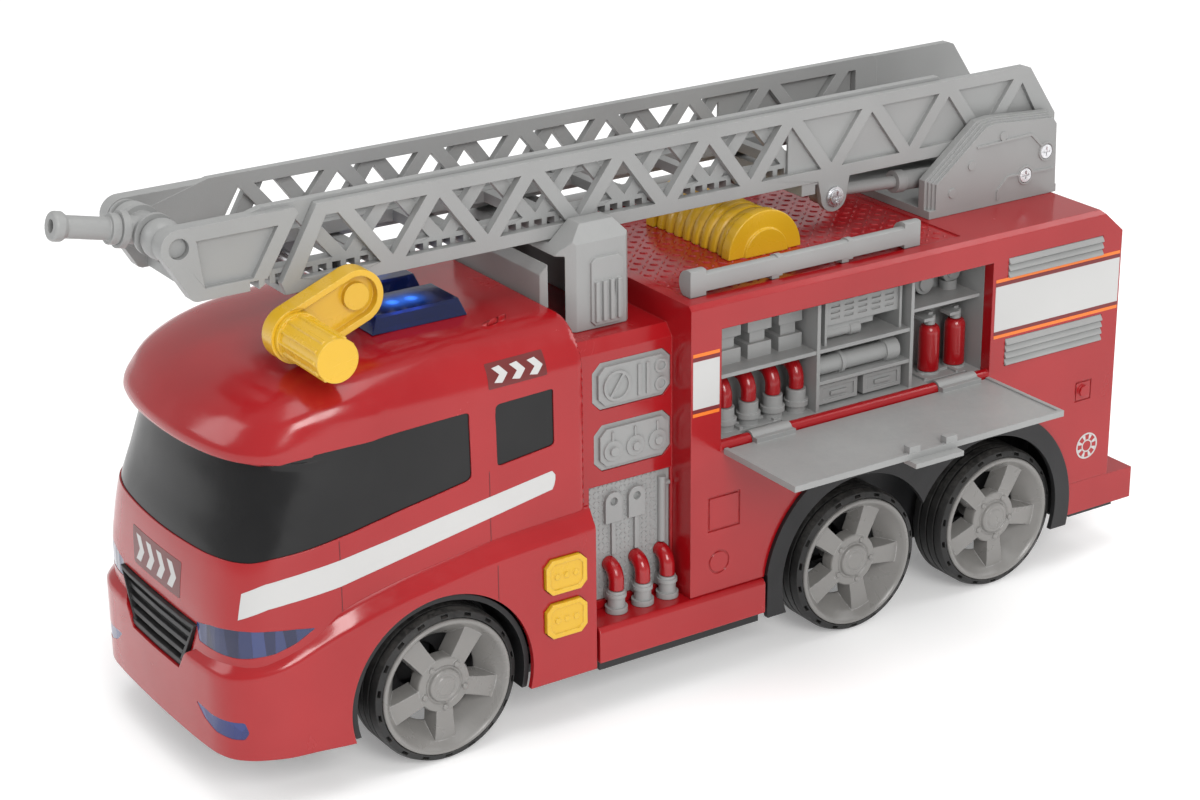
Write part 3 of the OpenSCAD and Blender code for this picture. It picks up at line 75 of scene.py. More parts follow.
class Surface:
    """A material with one Principled shader, textured in object coordinates."""

    def __init__(self, name):
        self.material = bpy.data.materials.new(name)
        self.material.use_nodes = True
        self.tree = self.material.node_tree
        self.tree.nodes.clear()
        output = self.add("OutputMaterial")
        self.shader = self.add("BsdfPrincipled")
        self.set(output, {0: self.shader.outputs[0]})
        self.coords = self.add("TexCoord").outputs["Object"]
        MAT[name] = self.material

    def add(self, kind, inputs=None, **settings):
        node = self.tree.nodes.new("ShaderNode" + kind)
        for key, value in settings.items():
            setattr(node, key, value)
        self.set(node, inputs or {})
        return node

    def set(self, node, inputs):
        """Link each input that is given a socket, and set the others."""
        for key, value in inputs.items():
            if isinstance(value, bpy.types.NodeSocket):
                self.tree.links.new(value, node.inputs[key])
            else:
                node.inputs[key].default_value = value

    def noise(self, scale, detail, rough=0.5, distortion=0.0, vector=None):
        return self.add("TexNoise", {
            "Scale": scale, "Detail": detail, "Roughness": rough, "Distortion": distortion,
            "Vector": vector or self.coords}).outputs["Fac"]

    def stretched(self, scale):
        """Object coordinates scaled apart along the axes."""
        return self.add("Mapping", {"Scale": scale, "Vector": self.coords}).outputs[0]

    def ramp(self, factor, stops):
        """Colour ramp; stops are (position, grey level or colour)."""
        node = self.add("ValToRGB", {0: factor})
        elements = node.color_ramp.elements
        while len(elements) > 1:
            elements.remove(elements[-1])
        elements[0].position, elements[0].color = stops[0][0], rgba(stops[0][1])
        for position, colour in stops[1:]:
            elements.new(position).color = rgba(colour)
        return node.outputs[0]

    def math(self, operation, first, second):
        return self.add("Math", {0: first, 1: second}, operation=operation).outputs[0]

    def mix(self, factor, base, colour):
        inputs = {0: factor, 6: base, 7: rgba(colour)}
        return self.add("Mix", inputs, data_type="RGBA").outputs[2]

    def bevel_normal(self, radius):
        return self.add("Bevel", {"Radius": radius}, samples=4).outputs[0]

    def edge_mask(self, rounded_normal):
        """Bright along edges, where the rounded normal leaves the true one."""
        true_normal = self.add("NewGeometry").outputs["Normal"]
        dot = self.add("VectorMath", {0: rounded_normal, 1: true_normal}, operation="DOT_PRODUCT")
        return self.math("SUBTRACT", 1.0, dot.outputs["Value"])

    def bump(self, height, strength, distance, normal=None):
        inputs = {"Strength": strength, "Distance": distance, "Height": height}
        if normal is not None:
            inputs["Normal"] = normal
        return self.add("Bump", inputs).outputs[0]


# ------------------------------------------------------------------ kinds of material
DUST = (0.55, 0.52, 0.48)


def plastic(name, colour, rough, drift, grain, grain_scale=900, coat=0.0, wear=None,
            bevel=0.00035, specular=0.5, smudge=0.12, dust=0.0):
    """Moulded plastic: slow colour drift, finger smudges, fine grain, rubbed edges and dust.

    drift is the share by which the colour varies, smudge how far the roughness varies,
    wear the (colour, greatest share) of rubbed edges, dust its share on upward faces.
    """
    surface = Surface(name)
    dark = scaled(colour, 1 - drift)
    light = tuple(min(1, x * (1 + drift * 0.8) + 0.004) for x in colour)
    base = surface.ramp(surface.noise(scale=22, detail=3), [(0.3, dark), (0.7, light)])
    normal = surface.bevel_normal(bevel)
    if wear or dust:
        scratches = surface.noise(scale=260, detail=6, rough=0.7, distortion=1.2)
    if wear:
        wear_colour, most = wear
        broken = surface.ramp(scratches, [(0.42, 0.0), (0.62, 1.0)])
        edges = surface.math("MULTIPLY", surface.edge_mask(normal), 3.0)
        worn = surface.math("MINIMUM", surface.math("MULTIPLY", edges, broken), most)
        base = surface.mix(worn, base, wear_colour)
    if dust:
        facing = surface.add("NewGeometry").outputs["Normal"]
        height = surface.add("SeparateXYZ", {0: facing}).outputs[2]
        upward = surface.ramp(height, [(0.2, 0.0), (1.0, 1.0)])
        patches = surface.ramp(scratches, [(0.35, 0.0), (0.75, 1.0)])
        share = surface.math("MULTIPLY", surface.math("MULTIPLY", upward, patches), dust)
        base = surface.mix(share, base, DUST)
    smears = surface.noise(scale=60, detail=5, rough=0.62, distortion=0.6)
    fine = surface.noise(scale=grain_scale, detail=2, rough=0.6)
    surface.set(surface.shader, {
        "Base Color": base,
        "Roughness": surface.ramp(smears, [(0.35, max(0.02, rough - smudge * 0.5)),
                                           (0.72, min(1, rough + smudge))]),
        "Normal": surface.bump(fine, strength=grain, distance=0.0006, normal=normal),
        "Specular IOR Level": specular,
        "Coat Weight": coat,
        "Coat Roughness": 0.12,
    })


def print_ink(name, colour, drift, rough=0.34, bevel=0.0002, wear=None):
    """Ink of the thin printed pieces."""
    plastic(name, colour, rough=rough, drift=drift, grain=0.05, grain_scale=1800,
            smudge=0.08, bevel=bevel, wear=wear)


def clear(name, colour, transmission, rough=0.08, glow=None):
    """Tinted clear plastic. glow has a colour, a strength and centres, given for +X and +Y and
    repeated in -X and -Y."""
    surface = Surface(name)
    light = tuple(min(1, x * 1.15) for x in colour)
    tint = [(0.3, scaled(colour, 0.85)), (0.7, light)]
    smears = surface.noise(scale=120, detail=5, rough=0.6, distortion=0.5)
    surface.set(surface.shader, {
        "Base Color": surface.ramp(surface.noise(scale=40, detail=3), tint),
        "Roughness": surface.ramp(smears, [(0.3, rough), (0.75, rough + 0.1)]),
        "Transmission Weight": transmission,
        "IOR": 1.5,
        "Normal": surface.bump(surface.noise(scale=500, detail=2), strength=0.03,
                               distance=0.0005, normal=surface.bevel_normal(0.0004)),
    })
    if glow:
        reach = 0.009
        falloff = [(0.0, 1.0), (0.12, 0.75), (0.3, 0.22), (0.6, 0.05), (1.0, 0.0)]
        place = surface.add("VectorMath", {0: surface.coords}, operation="ABSOLUTE").outputs[0]
        total = None
        for centre in glow["centres"]:
            gap = surface.add("VectorMath", {0: place, 1: centre}, operation="DISTANCE")
            share = surface.math("DIVIDE", gap.outputs["Value"], reach)
            spot = surface.ramp(share, falloff)
            total = spot if total is None else surface.math("ADD", total, spot)
        surface.set(surface.shader, {
            "Emission Color": rgba(glow["colour"]),
            "Emission Strength": surface.math("MULTIPLY", total, glow["strength"]),
        })


def brushed_metal(name, colour, rough):
    """Metal with fine streaks along X."""
    surface = Surface(name)
    streaks = surface.noise(scale=1.0, detail=3, vector=surface.stretched((40, 1800, 1800)))
    spots = surface.noise(scale=300, detail=4, rough=0.6)
    surface.set(surface.shader, {
        "Base Color": surface.ramp(spots, [(0.3, scaled(colour, 0.8)), (0.7, colour)]),
        "Roughness": surface.ramp(streaks, [(0.3, rough * 0.7), (0.7, rough * 1.5)]),
        "Metallic": 1.0,
        "Normal": surface.bump(streaks, strength=0.05, distance=0.0003,
                               normal=surface.bevel_normal(0.0002)),
    })


def lens(name, dark, light, across, upright):
    """Tinted lens with facets, sized by the coordinate scale across and upright."""
    surface = Surface(name)
    facets = surface.add("TexVoronoi", {
        "Scale": 210, "Vector": surface.stretched((across, across, upright))})
    shade = surface.add("SeparateColor", {0: facets.outputs["Color"]}).outputs[0]
    middle = tuple(low * 0.72 + high * 0.28 for low, high in zip(dark, light))
    surface.set(surface.shader, {
        "Base Color": surface.ramp(shade, [(0.15, dark), (0.6, middle), (0.95, light)]),
        "Roughness": surface.ramp(surface.noise(scale=120, detail=4),
                                  [(0.3, 0.05), (0.75, 0.14)]),
        "Transmission Weight": 0.35,
        "Coat Weight": 0.25,
        "Coat Roughness": 0.04,
        "Normal": surface.bump(facets.outputs["Distance"], strength=0.35, distance=0.0012),
    })


def reflector(name):
    """Bright ribbed back of a lamp."""
    surface = Surface(name)
    ribs = surface.add("TexWave", {"Scale": 120, "Distortion": 0.6, "Vector": surface.coords},
                       wave_type="BANDS", bands_direction="Y").outputs["Fac"]
    greys = [(0.2, (0.22, 0.22, 0.24)), (0.8, (0.62, 0.62, 0.64))]
    surface.set(surface.shader, {
        "Base Color": surface.ramp(ribs, greys),
        "Roughness": surface.ramp(surface.noise(scale=200, detail=3), [(0.3, 0.18), (0.7, 0.34)]),
        "Metallic": 0.8,
        "Normal": surface.bump(ribs, strength=0.6, distance=0.0006),
    })


# ------------------------------------------------------------------ the materials
plastic("red_plastic", (0.30, 0.0028, 0.0058), rough=0.17, coat=0.09, grain=0.012, drift=0.07,
        wear=((0.55, 0.06, 0.06), 0.35), bevel=0.0005)
plastic("grey_plastic", (0.262, 0.266, 0.264), rough=0.42, grain=0.10, grain_scale=2200,
        drift=0.06, wear=((0.5, 0.5, 0.5), 0.4), bevel=0.0003, dust=0.08)
plastic("wheel_grey", (0.188, 0.183, 0.175), rough=0.30, grain=0.05, grain_scale=1500,
        drift=0.06, coat=0.1, wear=((0.62, 0.62, 0.62), 0.4), bevel=0.0004, dust=0.06)
plastic("black_plastic", (0.010, 0.010, 0.011), rough=0.42, grain=0.08, grain_scale=1600,
        drift=0.2, wear=((0.08, 0.08, 0.08), 0.5), specular=0.35, dust=0.04)
plastic("tyre_rubber", (0.013, 0.013, 0.013), rough=0.55, grain=0.12, grain_scale=1400,
        drift=0.25, wear=((0.07, 0.07, 0.07), 0.5), smudge=0.2, specular=0.4, dust=0.18)
plastic("yellow_plastic", (0.60, 0.355, 0.012), rough=0.27, coat=0.12, grain=0.02, drift=0.06,
        wear=((0.95, 0.72, 0.2), 0.4), bevel=0.0006)
clear("blue_clear", (0.009, 0.026, 0.16), rough=0.04, transmission=0.72, glow=dict(
    colour=(0.05, 0.24, 1.0), strength=1.5,
    centres=[(0.0150, 0.103, 0.1462), (0.0150, 0.096, 0.1462)]))
lens("lamp_clear", dark=(0.004, 0.009, 0.06), light=(0.05, 0.075, 0.23), across=1.0, upright=0.12)
lens("fog_clear", dark=(0.010, 0.024, 0.17), light=(0.022, 0.044, 0.23), across=0.6, upright=0.5)
reflector("reflector")
clear("red_clear", (0.5, 0.01, 0.01), transmission=0.5)
plastic("dark_glass", (0.009, 0.009, 0.0095), rough=0.17, grain=0.01, drift=0.12, specular=0.27,
        smudge=0.1)
brushed_metal("steel", (0.72, 0.72, 0.74), rough=0.28)
plastic("board_green", (0.02, 0.16, 0.05), rough=0.35, grain=0.15, grain_scale=700, drift=0.2)
plastic("battery_jacket", (0.03, 0.05, 0.10), rough=0.25, grain=0.03, drift=0.15)
print_ink("white_print", (0.47, 0.47, 0.465), drift=0.03, wear=((0.6, 0.2, 0.2), 0.3))
print_ink("dark_print", (0.12, 0.012, 0.012), drift=0.10, rough=0.32)
print_ink("maroon_print", (0.14, 0.008, 0.012), drift=0.10)
print_ink("joint_shadow", (0.13, 0.004, 0.006), drift=0.10, rough=0.5, bevel=0.0001)
print_ink("orange_print", (0.72, 0.16, 0.01), drift=0.08)
clear("led_clear", (0.75, 0.85, 1.0), transmission=0.85)

# ------------------------------------------------------------------ CAD nodes, with eased edges
# edge width in mm by material slot
DEFAULT_EASE = 0.3
EASE = {"red_plastic": 0.45, "yellow_plastic": 0.6, "wheel_grey": 0.35, "tyre_rubber": 0.25,
        "steel": 0.12, "board_green": 0.08, "led_clear": 0.08}
EASE_ANGLE = 28


def modify(obj, name, kind, **settings):
    modifier = obj.modifiers.new(name, kind)
    for key, value in settings.items():
        setattr(modifier, key, value)
    return modifier


def mesh_area(obj):
    """Area with the modifiers applied, in square metres."""
    evaluated = obj.evaluated_get(bpy.context.evaluated_depsgraph_get())
    mesh = evaluated.to_mesh()
    mesh.calc_loop_triangles()
    tris = np.empty(len(mesh.loop_triangles) * 3, np.int64)
    mesh.loop_triangles.foreach_get("vertices", tris)
    verts = np.empty(len(mesh.vertices) * 3, np.float32)
    mesh.vertices.foreach_get("co", verts)
    first, second, third = (verts.reshape(-1, 3)[corner] for corner in tris.reshape(-1, 3).T)
    area = float(np.linalg.norm(np.cross(second - first, third - first), axis=1).sum() / 2)
    evaluated.to_mesh_clear()
    return area


def ease(obj, width):
    """Bevel the edges, and back out of any step that spoils the surface's area."""
    if "custom_normal" in obj.data.attributes:
        obj.data.attributes.remove(obj.data.attributes["custom_normal"])
    for polygon in obj.data.polygons:
        polygon.use_smooth = True
    area = mesh_area(obj)

    def broken():
        now = mesh_area(obj)
        return now > 1.003 * area or now < 0.9 * area

    modify(obj, "weld", "WELD", merge_threshold=8e-6)
    flat = modify(obj, "flat", "DECIMATE", decimate_type="DISSOLVE",
                  angle_limit=math.radians(0.4))
    flat_kept = abs(mesh_area(obj) - area) < 0.004 * area
    if not flat_kept:
        obj.modifiers.remove(flat)
    bevel = modify(obj, "bevel", "BEVEL", limit_method="ANGLE",
                   angle_limit=math.radians(EASE_ANGLE), width=width * MM, segments=2,
                   use_clamp_overlap=True, miter_outer="MITER_ARC", harden_normals=False)
    spoiled = broken()
    if spoiled and flat_kept:
        obj.modifiers.remove(obj.modifiers["flat"])
        spoiled = broken()
    if spoiled:
        obj.modifiers.remove(obj.modifiers["bevel"])
        modify(obj, "split", "EDGE_SPLIT", split_angle=math.radians(30))
    modify(obj, "wn", "WEIGHTED_NORMAL", weight=60, keep_sharp=True)


for node_name, cad_object in NODES.items():
    slot_name = SLOT[node_name]
    cad_object.data.materials.clear()
    cad_object.data.materials.append(MAT[slot_name])
    ease(cad_object, EASE.get(slot_name, DEFAULT_EASE))


# ------------------------------------------------------------------ curves and flat loops
def blend(start, end, knot_a, knot_b, knot):
    """Start at knot_a, end at knot_b, and straight in between."""
    span = knot_b - knot_a
    return (knot_b - knot) / span * start + (knot - knot_a) / span * end


def catmull(points, steps):
    """Centripetal Catmull-Rom through the points, with so many steps to each span."""
    points = np.array(points, float)
    points = np.vstack([2 * points[0] - points[1], points, 2 * points[-1] - points[-2]])
    out = []
    for i in range(1, len(points) - 2):
        span = points[i - 1:i + 3]
        knots = [0.0]
        for here, after in zip(span, span[1:]):
            knots.append(knots[-1] + max(1e-6, np.linalg.norm(after - here) ** 0.5))
        knot = np.linspace(knots[1], knots[2], steps, endpoint=False)[:, None]
        legs = [blend(span[k], span[k + 1], knots[k], knots[k + 1], knot) for k in range(3)]
        bends = [blend(legs[k], legs[k + 1], knots[k], knots[k + 2], knot) for k in range(2)]
        out.append(blend(bends[0], bends[1], knots[1], knots[2], knot))
    out.append(points[-2][None])
    return np.vstack(out)


def run_lengths(points):
    return np.r_[0, np.cumsum(np.linalg.norm(np.diff(points, axis=0), axis=1))]


class Curve:
    """A plan curve (x, y) by arc length."""

    def __init__(self, points):
        self.points = np.array(points, float)
        self.dist = run_lengths(self.points)
        self.length = self.dist[-1]
        slope = np.gradient(self.points, self.dist, axis=0)
        self.slope = slope / np.linalg.norm(slope, axis=1)[:, None]

    def _sample(self, table, along):
        return np.stack([np.interp(along, self.dist, table[:, k]) for k in range(2)], -1)

    def at(self, along):
        return self._sample(self.points, along)

    def tangent(self, along):
        slope = self._sample(self.slope, along)
        return slope / np.linalg.norm(slope, axis=-1, keepdims=True)


def nose_curve(points, past_axis):
    """The curve through the +X half's points, ending just short of the axis X = 0."""
    curve = catmull(points + [past_axis], 20)
    return curve[:np.argmin(np.abs(curve[:, 0]))]


def whole_outline(half):
    """Outline from its +X half, which ends on the axis."""
    return Curve(np.vstack([half, (half * [-1, 1])[::-1][1:]]))


def lookup(value, keys, results):
    """Result at a value, interpolated over keys in any order."""
    order = np.argsort(keys)
    return float(np.interp(value, keys[order], results[order]))


def inside(points, loop):
    """Which points lie inside the closed loop."""
    loop = np.array(loop, float)
    x, y = points[:, 0], points[:, 1]
    result = np.zeros(len(points), bool)
    for (x_here, y_here), (x_prev, y_prev) in zip(loop, np.roll(loop, 1, axis=0)):
        if y_here != y_prev:
            slant = (x_prev - x_here) * (y - y_here) / (y_prev - y_here) + x_here
            result ^= ((y_here > y) != (y_prev > y)) & (x < slant)
    return result


def loop_distance(points, loop):
    best = np.full(len(points), 1e9)
    for start, end in zip(loop, np.roll(loop, -1, axis=0)):
        edge = end - start
        share = np.clip(((points - start) @ edge) / max(1e-12, edge @ edge), 0, 1)
        nearest = start + share[:, None] * edge
        best = np.minimum(best, ((points - nearest) ** 2).sum(1))
    return np.sqrt(best)


def dense(loop, step, closed=True):
    """Split the edges of a loop so that none is longer than the step."""
    loop = [np.array(point, float) for point in loop]
    count = len(loop)
    out = []
    for i in range(count if closed else count - 1):
        start, end = loop[i], loop[(i + 1) % count]
        pieces = max(1, int(np.ceil(np.linalg.norm(end - start) / step)))
        out += [start + (end - start) * j / pieces for j in range(pieces)]
    if not closed:
        out.append(loop[-1])
    return np.array(out)


def rounded(loop, radius, count=5):
    """Fillet each corner of a closed loop with about this radius, in so many points."""
    loop = [np.array(point, float) for point in loop]
    out = []
    for i, corner in enumerate(loop):
        before, after = loop[i - 1] - corner, loop[(i + 1) % len(loop)] - corner
        size_before, size_after = np.linalg.norm(before), np.linalg.norm(after)
        if (before @ after) / (size_before * size_after) < -0.985:
            out.append(corner)      # nearly straight
            continue
        cut = min(radius, size_before * 0.45, size_after * 0.45)
        start, end = corner + before / size_before * cut, corner + after / size_after * cut
        for t in np.linspace(0, 1, count):
            out.append((1 - t) ** 2 * start + 2 * t * (1 - t) * corner + t * t * end)
    return out


# ------------------------------------------------------------------ meshes
def tri_domain(outer, holes, step):
    """Triangles of a flat domain with holes: points and faces, counter-clockwise."""
    loops = [np.array(loop, float) for loop in [outer, *holes]]
    low, high = loops[0].min(0), loops[0].max(0)
    grid_x = np.arange(low[0] + step * 0.5, high[0], step)
    grid_y = np.arange(low[1] + step * 0.5, high[1], step * 0.866)
    grid = np.array([(x + (step / 2 if row % 2 else 0), y)
                     for row, y in enumerate(grid_y) for x in grid_x])

    def in_domain(points):
        keep = inside(points, loops[0])
        for loop in loops[1:]:
            keep &= ~inside(points, loop)
        return keep

    if len(grid):
        grid = grid[in_domain(grid)]
        clear_of_loops = np.ones(len(grid), bool)
        for loop in loops:
            clear_of_loops &= loop_distance(grid, loop) > 0.5 * step
        grid = grid[clear_of_loops]
    points, edges = [], []
    for loop in loops:
        start, count = len(points), len(loop)
        points += [tuple(point) for point in loop]
        edges += [(start + i, start + (i + 1) % count) for i in range(count)]
    points += [tuple(point) for point in grid]
    result = delaunay_2d_cdt([Vector(point) for point in points], edges, [], 0, 1e-6)
    verts = np.array([(vert.x, vert.y) for vert in result[0]])
    faces = np.array([face for face in result[2] if len(face) == 3])
    faces = faces[in_domain(verts[faces].mean(1))]
    first, second, third = verts[faces[:, 0]], verts[faces[:, 1]], verts[faces[:, 2]]
    turn = ((second[:, 0] - first[:, 0]) * (third[:, 1] - first[:, 1])
            - (second[:, 1] - first[:, 1]) * (third[:, 0] - first[:, 0]))
    faces[turn < 0] = faces[turn < 0][:, ::-1]
    used = np.unique(faces)
    index = -np.ones(len(verts), int)
    index[used] = np.arange(len(used))
    return verts[used], index[faces]


def normals(verts, faces):
    out = np.zeros_like(verts)
    first, second, third = verts[faces[:, 0]], verts[faces[:, 1]], verts[faces[:, 2]]
    face_normals = np.cross(second - first, third - first)
    for k in range(3):
        np.add.at(out, faces[:, k], face_normals)
    return out / np.maximum(1e-12, np.linalg.norm(out, axis=1))[:, None]


def merge(verts, faces, tolerance):
    """Join verts that share a cell of the tolerance, and drop collapsed faces."""
    cells = np.round(verts / tolerance).astype(np.int64)
    _, kept, index = np.unique(cells, axis=0, return_index=True, return_inverse=True)
    faces = index.ravel()[faces]
    first, second, third = faces.T
    return verts[kept], faces[(first != second) & (second != third) & (first != third)]


def rim_edges(faces):
    edges = np.vstack([faces[:, [0, 1]], faces[:, [1, 2]], faces[:, [2, 0]]])
    _, index, count = np.unique(np.sort(edges, axis=1), axis=0, return_inverse=True,
                                return_counts=True)
    return edges[count[index.ravel()] == 1]


def shell(top, bottom, faces):
    """Closed shell from two copies of a surface, joined along every rim."""
    count = len(top)
    start, end = rim_edges(faces).T
    rim = np.vstack([np.stack([end, start, start + count], 1),
                     np.stack([end, start + count, end + count], 1)])
    return np.vstack([top, bottom]), np.vstack([faces, faces[:, ::-1] + count, rim])


def thicken(verts, faces, thickness, normal, lift=0.0):
    """Shell whose top is the surface lifted along its normals."""
    return shell(verts + normal * lift, verts + normal * (lift - thickness), faces)


def outward(verts, faces):
    """Faces turned so that the closed mesh has a positive volume."""
    volume = 0.0
    for face in faces:
        for j in range(1, len(face) - 1):
            volume += float(np.dot(verts[face[0]],
                                   np.cross(verts[face[j]], verts[face[j + 1]])))
    return faces if volume > 0 else [list(reversed(face)) for face in faces]


def gather(parts):
    """One mesh from several closed ones, each with its faces outward."""
    verts, faces, start = [], [], 0
    for part_verts, part_faces in parts:
        verts.append(part_verts)
        faces += [[i + start for i in face] for face in outward(part_verts, part_faces)]
        start += len(part_verts)
    return np.vstack(verts), faces


# Prints have no slot of their own in the record. The lenses' slot would be the clear blue one;
# piece() works it out but gives the object no slot.
LENS_SLOT = {"lamp_clear": "blue_clear", "fog_clear": "blue_clear"}


def piece(name, verts, faces, mat, body="engine", slot=None, sharp=None):
    """Make an object; sharp is the angle of edges kept sharp, or None for flat shading."""
    mesh = bpy.data.meshes.new(name)
    mesh.from_pydata((np.asarray(verts, float) * MM).tolist(), [],
                     [list(map(int, face)) for face in faces])
    mesh.update()
    if sharp:
        mesh.polygons.foreach_set("use_smooth", [True] * len(mesh.polygons))
        mesh.set_sharp_from_angle(angle=math.radians(sharp))
    obj = bpy.data.objects.new(name, mesh)
    bpy.context.scene.collection.objects.link(obj)
    mesh.materials.append(MAT[mat])
    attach(obj, body)
    wanted = slot or mat
    wanted = LENS_SLOT.get(wanted, wanted)
    return obj


def plate_solid(name, loop, start, end, mat, axis, bevel=0.0):
    """A flat plate drawn out along the axis; the loop is (y, z) for "x" and (x, z) for "y"."""
    flat, faces = tri_domain(loop, [], 50)
    column = {"x": 0, "y": 1}[axis]
    top, bottom = (np.insert(flat, column, place, axis=1) for place in (end, start))
    verts, faces = shell(top, bottom, faces)
    obj = piece(name, verts, outward(verts, faces), mat)
    if bevel:
        modify(obj, "flat", "DECIMATE", decimate_type="DISSOLVE", angle_limit=math.radians(0.5))
        modify(obj, "bevel", "BEVEL", limit_method="ANGLE", angle_limit=math.radians(30),
               width=bevel * MM, segments=2)
    return obj


# ------------------------------------------------------------------ upper cab surface
# A point of the surface is (along, rise): along the plan outline, and up the profiles.
UPPER_HALF_WIDTH = 55.5
UPPER_REAR_Y = -55.5
UPPER_NOSE_Y = -185.4
UPPER_BASE = 46
UPPER_TOP = 141.3
REAR_CORNER = 1.4       # plan radius
ROOF_EDGE = 1.6         # radius of the front and side edge of the roof
# plan of the nose, +X half: x, y
UPPER_NOSE = [
    (55.5, -140), (55.5, -153), (54.6, -163), (53, -170), (50.6, -175.6), (47, -179.6),
    (42, -182.4), (34, -184.2), (20, -185.1), (0, UPPER_NOSE_Y)]
# front profile on the axis: z, y
FRONT_PROFILE = [
    (46, -185.2), (60, -185.2), (66, -185.2), (76, -184.6), (83.5, -183.6), (95, -180.2),
    (105, -177.4), (112.4, -175.1), (114.2, -174.7), (115.0, -175.4), (115.5, -177.4),
    (115.9, -179.9), (116.6, -181.2), (118.0, -181.6), (120.4, -181.0), (123, -179.3),
    (127.6, -175.4), (131.8, -169), (135.6, -160), (138, -150.6), (139.6, -140),
    (140.6, -128.6), (141.1, -120), (141.3, -112)]
# the same without the brim's overhang
BRIMLESS_PROFILE = (
    [point for point in FRONT_PROFILE if point[0] <= 112.4]
    + [(118.0, -174.4), (123.0, -173.2), (127.6, -171.4)]
    + [point for point in FRONT_PROFILE if point[0] > 130])
# half width by height: z, x
WIDTH_PROFILE = [
    (46, 55.5), (110, 55.5), (122, 55.5), (125, 55.35), (128.5, 54.9), (132, 53.6),
    (135.2, 51.3), (138, 48.0), (139.6, 44.8), (140.6, 41.6), (141.1, 39.2), (141.3, 37)]
# how far the nose's corners lie back: z, distance
CORNER_SETBACK = np.array([
    (46, 0), (60, 0), (70, 1.6), (83, 3.6), (95, 5.2), (105, 6.4), (114, 7.4), (125, 8.0),
    (134, 6.5), (141.3, 4.0)])


def upper_outline():
    inset_x, inset_y = UPPER_HALF_WIDTH - REAR_CORNER, UPPER_REAR_Y - REAR_CORNER
    corner = [(inset_x + REAR_CORNER * math.sin(turn), inset_y + REAR_CORNER * math.cos(turn))
              for turn in np.linspace(0, math.pi / 2, 7)]
    return whole_outline(np.vstack([
        [(0.0, UPPER_REAR_Y), (30.0, UPPER_REAR_Y)], corner,
        [(UPPER_HALF_WIDTH, -90.0), (UPPER_HALF_WIDTH, -120.0)],
        nose_curve(UPPER_NOSE, (-20, -185.1)), [(0.0, UPPER_NOSE_Y)]]))


def smooth_profile(points):
    curve = catmull(points, 10)
    return curve[np.argsort(curve[:, 0], kind="stable")]


UPPER = upper_outline()
_front, _width, _brimless = map(smooth_profile, (FRONT_PROFILE, WIDTH_PROFILE, BRIMLESS_PROFILE))
_z = np.unique(np.r_[np.linspace(UPPER_BASE, UPPER_TOP, 400), _front[:, 0], _width[:, 0]])
HEIGHTS = _z[(_z >= UPPER_BASE) & (_z <= UPPER_TOP)]
FRONT_Y = np.interp(HEIGHTS, _front[:, 0], _front[:, 1])
BRIMLESS_Y = np.interp(HEIGHTS, _brimless[:, 0], _brimless[:, 1])
HALF_WIDTHS = np.interp(HEIGHTS, _width[:, 0], _width[:, 1])
# rise grows with the length of the front and width profiles, weighted 3 to 1
_dz = np.diff(HEIGHTS)
_rise_steps = np.maximum(
    np.hypot(_dz, np.diff(FRONT_Y)) * 0.75 + np.hypot(_dz, np.diff(HALF_WIDTHS)) * 0.25, _dz)
RISES = np.r_[0, np.cumsum(_rise_steps)]
TOP_RISE = RISES[-1]


def rise_at(z):
    return float(np.interp(z, HEIGHTS, RISES))


def smoothstep(value, start, end):
    t = np.clip((value - start) / (end - start), 0, 1)
    return t * t * (3 - 2 * t)


def upper_map(along, rise):
    """The upper cab's points (x, y, z)."""
    z = np.interp(rise, RISES, HEIGHTS)
    front, brimless, half_width = (
        np.interp(rise, RISES, table) for table in (FRONT_Y, BRIMLESS_Y, HALF_WIDTHS))
    plan = UPPER.at(along)
    x, y = plan[:, 0], plan[:, 1]
    # the brim overhangs the front only, and fades out round the corners
    brim = smoothstep(-y, 164, 178.5)
    slope = front * brim + brimless * (1 - brim) - UPPER_NOSE_Y
    # the roof's slope starts further back than the windscreen's
    roof = np.clip((z - 116.6) / 5.4, 0, 1) ** 1.5 * np.maximum(0, front + 182.5)
    screen = slope - roof
    screen_share = smoothstep(-y, 124, 160)
    roof_share = np.clip((-y - 58) / (150 - 58), 0, 1)
    corner = np.clip(np.abs(x) / 50.0, 0, 1.05) ** 2.2 * screen_share
    setback = np.interp(z, CORNER_SETBACK[:, 0], CORNER_SETBACK[:, 1]) * corner
    new_y = y + screen_share * screen + roof_share * roof + setback
    # the last of the height turns over at the rear edge
    turn = np.clip((z - (UPPER_TOP - ROOF_EDGE)) / ROOF_EDGE, 0, 1)
    inset = ROOF_EDGE - np.sqrt(np.maximum(0, ROOF_EDGE * ROOF_EDGE - (turn * ROOF_EDGE) ** 2))
    new_y = new_y - inset * np.clip((y + 60) / 4.4, 0, 1)
    return np.stack([x * half_width / UPPER_HALF_WIDTH, new_y, z], 1)


UPPER_SAMPLES = np.linspace(0, UPPER.length, 4001)


def upper_side(y, z):
    """(along, rise) of the point at (y, z) on the +X side."""
    rise = rise_at(z)
    points = upper_map(UPPER_SAMPLES, np.full(len(UPPER_SAMPLES), rise))
    near = (points[:, 0] > 20) & (UPPER_SAMPLES > 57) & (UPPER_SAMPLES < UPPER.length - 57)
    return lookup(y, points[near, 1], UPPER_SAMPLES[near]), rise


def upper_front(x, z):
    """(along, rise) of the point at (x, z) on the front."""
    rise = rise_at(z)
    points = upper_map(UPPER_SAMPLES, np.full(len(UPPER_SAMPLES), rise))
    near = np.abs(UPPER_SAMPLES - UPPER.length / 2) < 75
    return lookup(x, points[near, 0], UPPER_SAMPLES[near]), rise


# ------------------------------------------------------------------ lower cab surface
# Bumper, wheel arches and sloping shoulder. A point is (along, rise): along the plan outline,
# and the height over the shoulder line, or above FOOT the distance along the shoulder.
LOWER_HALF_WIDTH = 59.5
LOWER_NOSE_Y = -187.5
LOWER_BASE = 18.6
